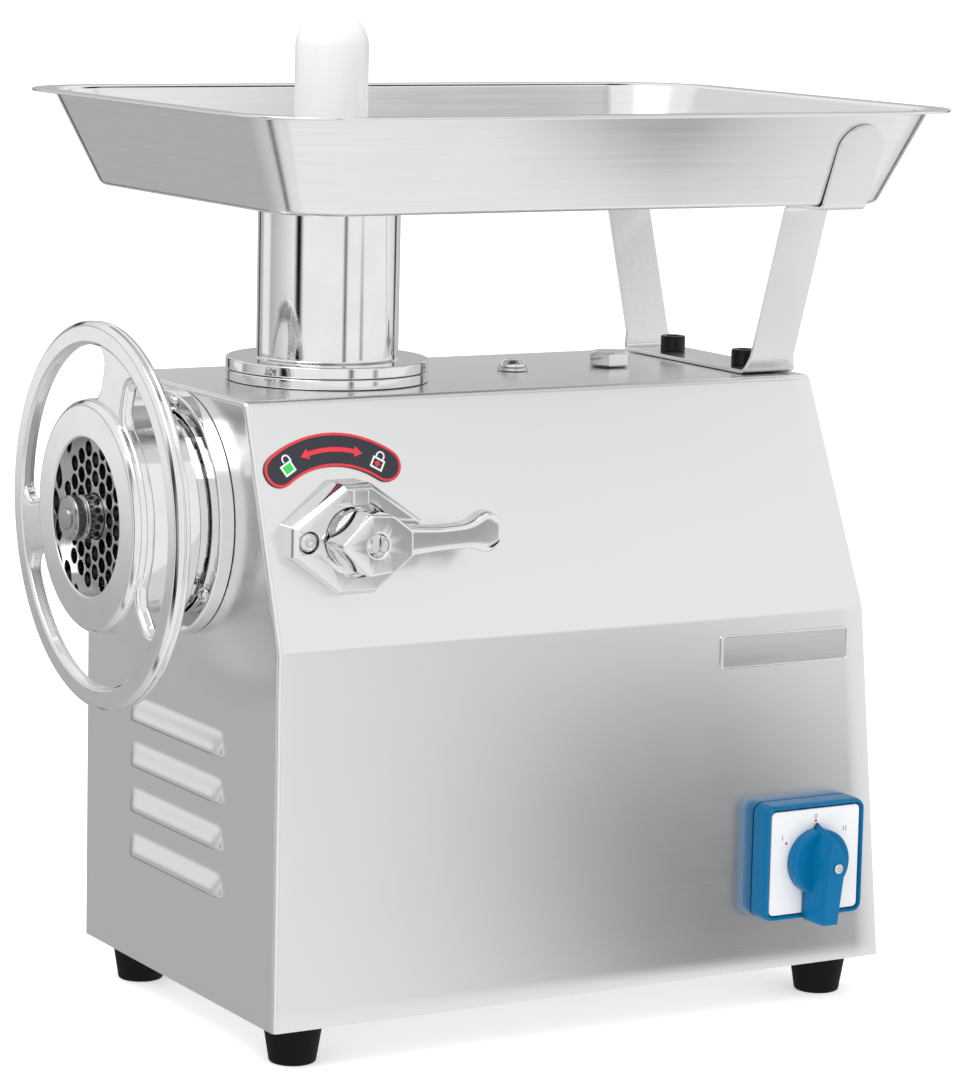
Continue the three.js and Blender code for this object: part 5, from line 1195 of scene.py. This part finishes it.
for u, v in ((-20.2, 13.2), (17.2, 15.0), (18.7, 15.0)):
    strokes.append(plate([np.array([u, v]) + np.array(CORNERS) * [0.22, 1.3]], stroke_levels, dial_place, "x"))
ticks = piece("switch_strokes", *strokes)
fitted(ticks, dial_grey, "root", "dark_plastic")

knob_base = 12.8
knob_profile = eased([(0, knob_base), (17, knob_base), (17, knob_base + 7), (0, knob_base + 7)],
    [0, 0.4, 1.6, 0], 5)
foot_outline = eased([(-7.6, -28.6), (-5.2, -31), (5.2, -31), (7.6, -28.6), (7.9, 8), (0, 20.5), (-7.9, 8)],
    [1.5, 1.5, 1.5, 1.5, 4, 0.9, 4], 6, closed=True)
top_outline = eased([(-4.2, -30.2), (-3.9, -30.8), (3.9, -30.8), (4.2, -30.2), (4.9, 4), (0, 15.2), (-4.9, 4)],
    [0.6, 0.6, 0.6, 0.6, 3, 0.8, 3], 6, closed=True)
grip_high, grip_fall, grip_top_v, grip_span = 22.0, 6.2, -6.0, 25.0
ridge = lambda v: grip_high - grip_fall * ((v - grip_top_v) / grip_span) ** 2
layers = []
for s, inset in zip([0.0, 0.25, 0.5, 0.75, 0.93, 0.965, 0.99, 1.0], [0.0, 0.0, 0.0, 0.0, 0.0, 0.12, 0.35, 0.75]):
    level = foot_outline + (top_outline - foot_outline) * s
    level = level + inward(level) * inset
    height = knob_base + 1.0 + (ridge(level[:, 1]) - 1.0) * s
    layers.append(np.concatenate([height[:, None], level], 1))
top_line = layers[-1]
for s in (0.97, 0.6, 0.2, 0.0):
    layers.append(np.stack([knob_base + ridge(top_line[:, 2]), top_line[:, 1] * s, top_line[:, 2]], 1))
grip = surface(dial_place + np.array(layers), around=True)
bottom = surface(dial_place + np.array([layers[0],
    np.repeat(layers[0].mean(0)[None], len(layers[0]), 0)]), around=True)
stem = turned([(0, 0.5), (4, 0.5), (4, knob_base + 1), (0, knob_base + 1)], dial_place, "x", 32)
joined_grip = (np.concatenate([grip[0], bottom[0]]), np.concatenate([grip[1], bottom[1] + len(grip[0])]))
knob = piece("switch_knob_grip", turned(knob_profile, dial_place, "x", 96), joined_grip, stem)
fitted(knob, blue, "knob", "blue_plastic", "switch_knob")
knob_screw = piece("knob_screw_head",
    button_head(2.5, 1.1, 1.1, 0.8, torx, dial_place + [knob_base + ridge(0.0) - 0.45, 0, 0], "x"))
fitted(knob_screw, bright_screw, "knob", "brushed_steel", "knob_screw")

# ---- Drive, seat and knife -----------------------------------------------------------
# What stays inside: cast cases, ground shafts and gears, the motor and its winding. The frame's
# own solids keep their shape here and only take their finishes.

cast = steel("cast_aluminium", (0.55, 0.555, 0.56), 0.5, 0.08, (260, 260, 260), 4e-5)
winding = steel("varnished_winding", (0.35, 0.22, 0.13), 0.45, 0.12, (900, 60, 900), 6e-5)
finishes = {
    "cast_aluminium": (cast, ["head_seat", "gearbox_case", "gearbox_cover", "motor_rear_bell", "motor_cradle"]),
    "gear_steel": (ground, ["knife", "output_bearing_front", "output_bearing_rear", "output_shaft", "output_gear",
                            "middle_gears", "motor_shaft", "motor_rotor"]),
    "winding": (winding, ["motor_stator"]),
    "dark_plastic": (black_plastic, ["switch_body", "motor_fan", "run_capacitor"]),
    "black_rubber": (foot_rubber, ["shaft_seal"]),
    "brushed_steel": (satin_walls, ["base_plate"]),
    "polished_steel": (mirror, ["head_barrel"]),
}
for material, names in finishes.values():
    for name in names:
        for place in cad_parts[name].material_slots:
            place.material = material
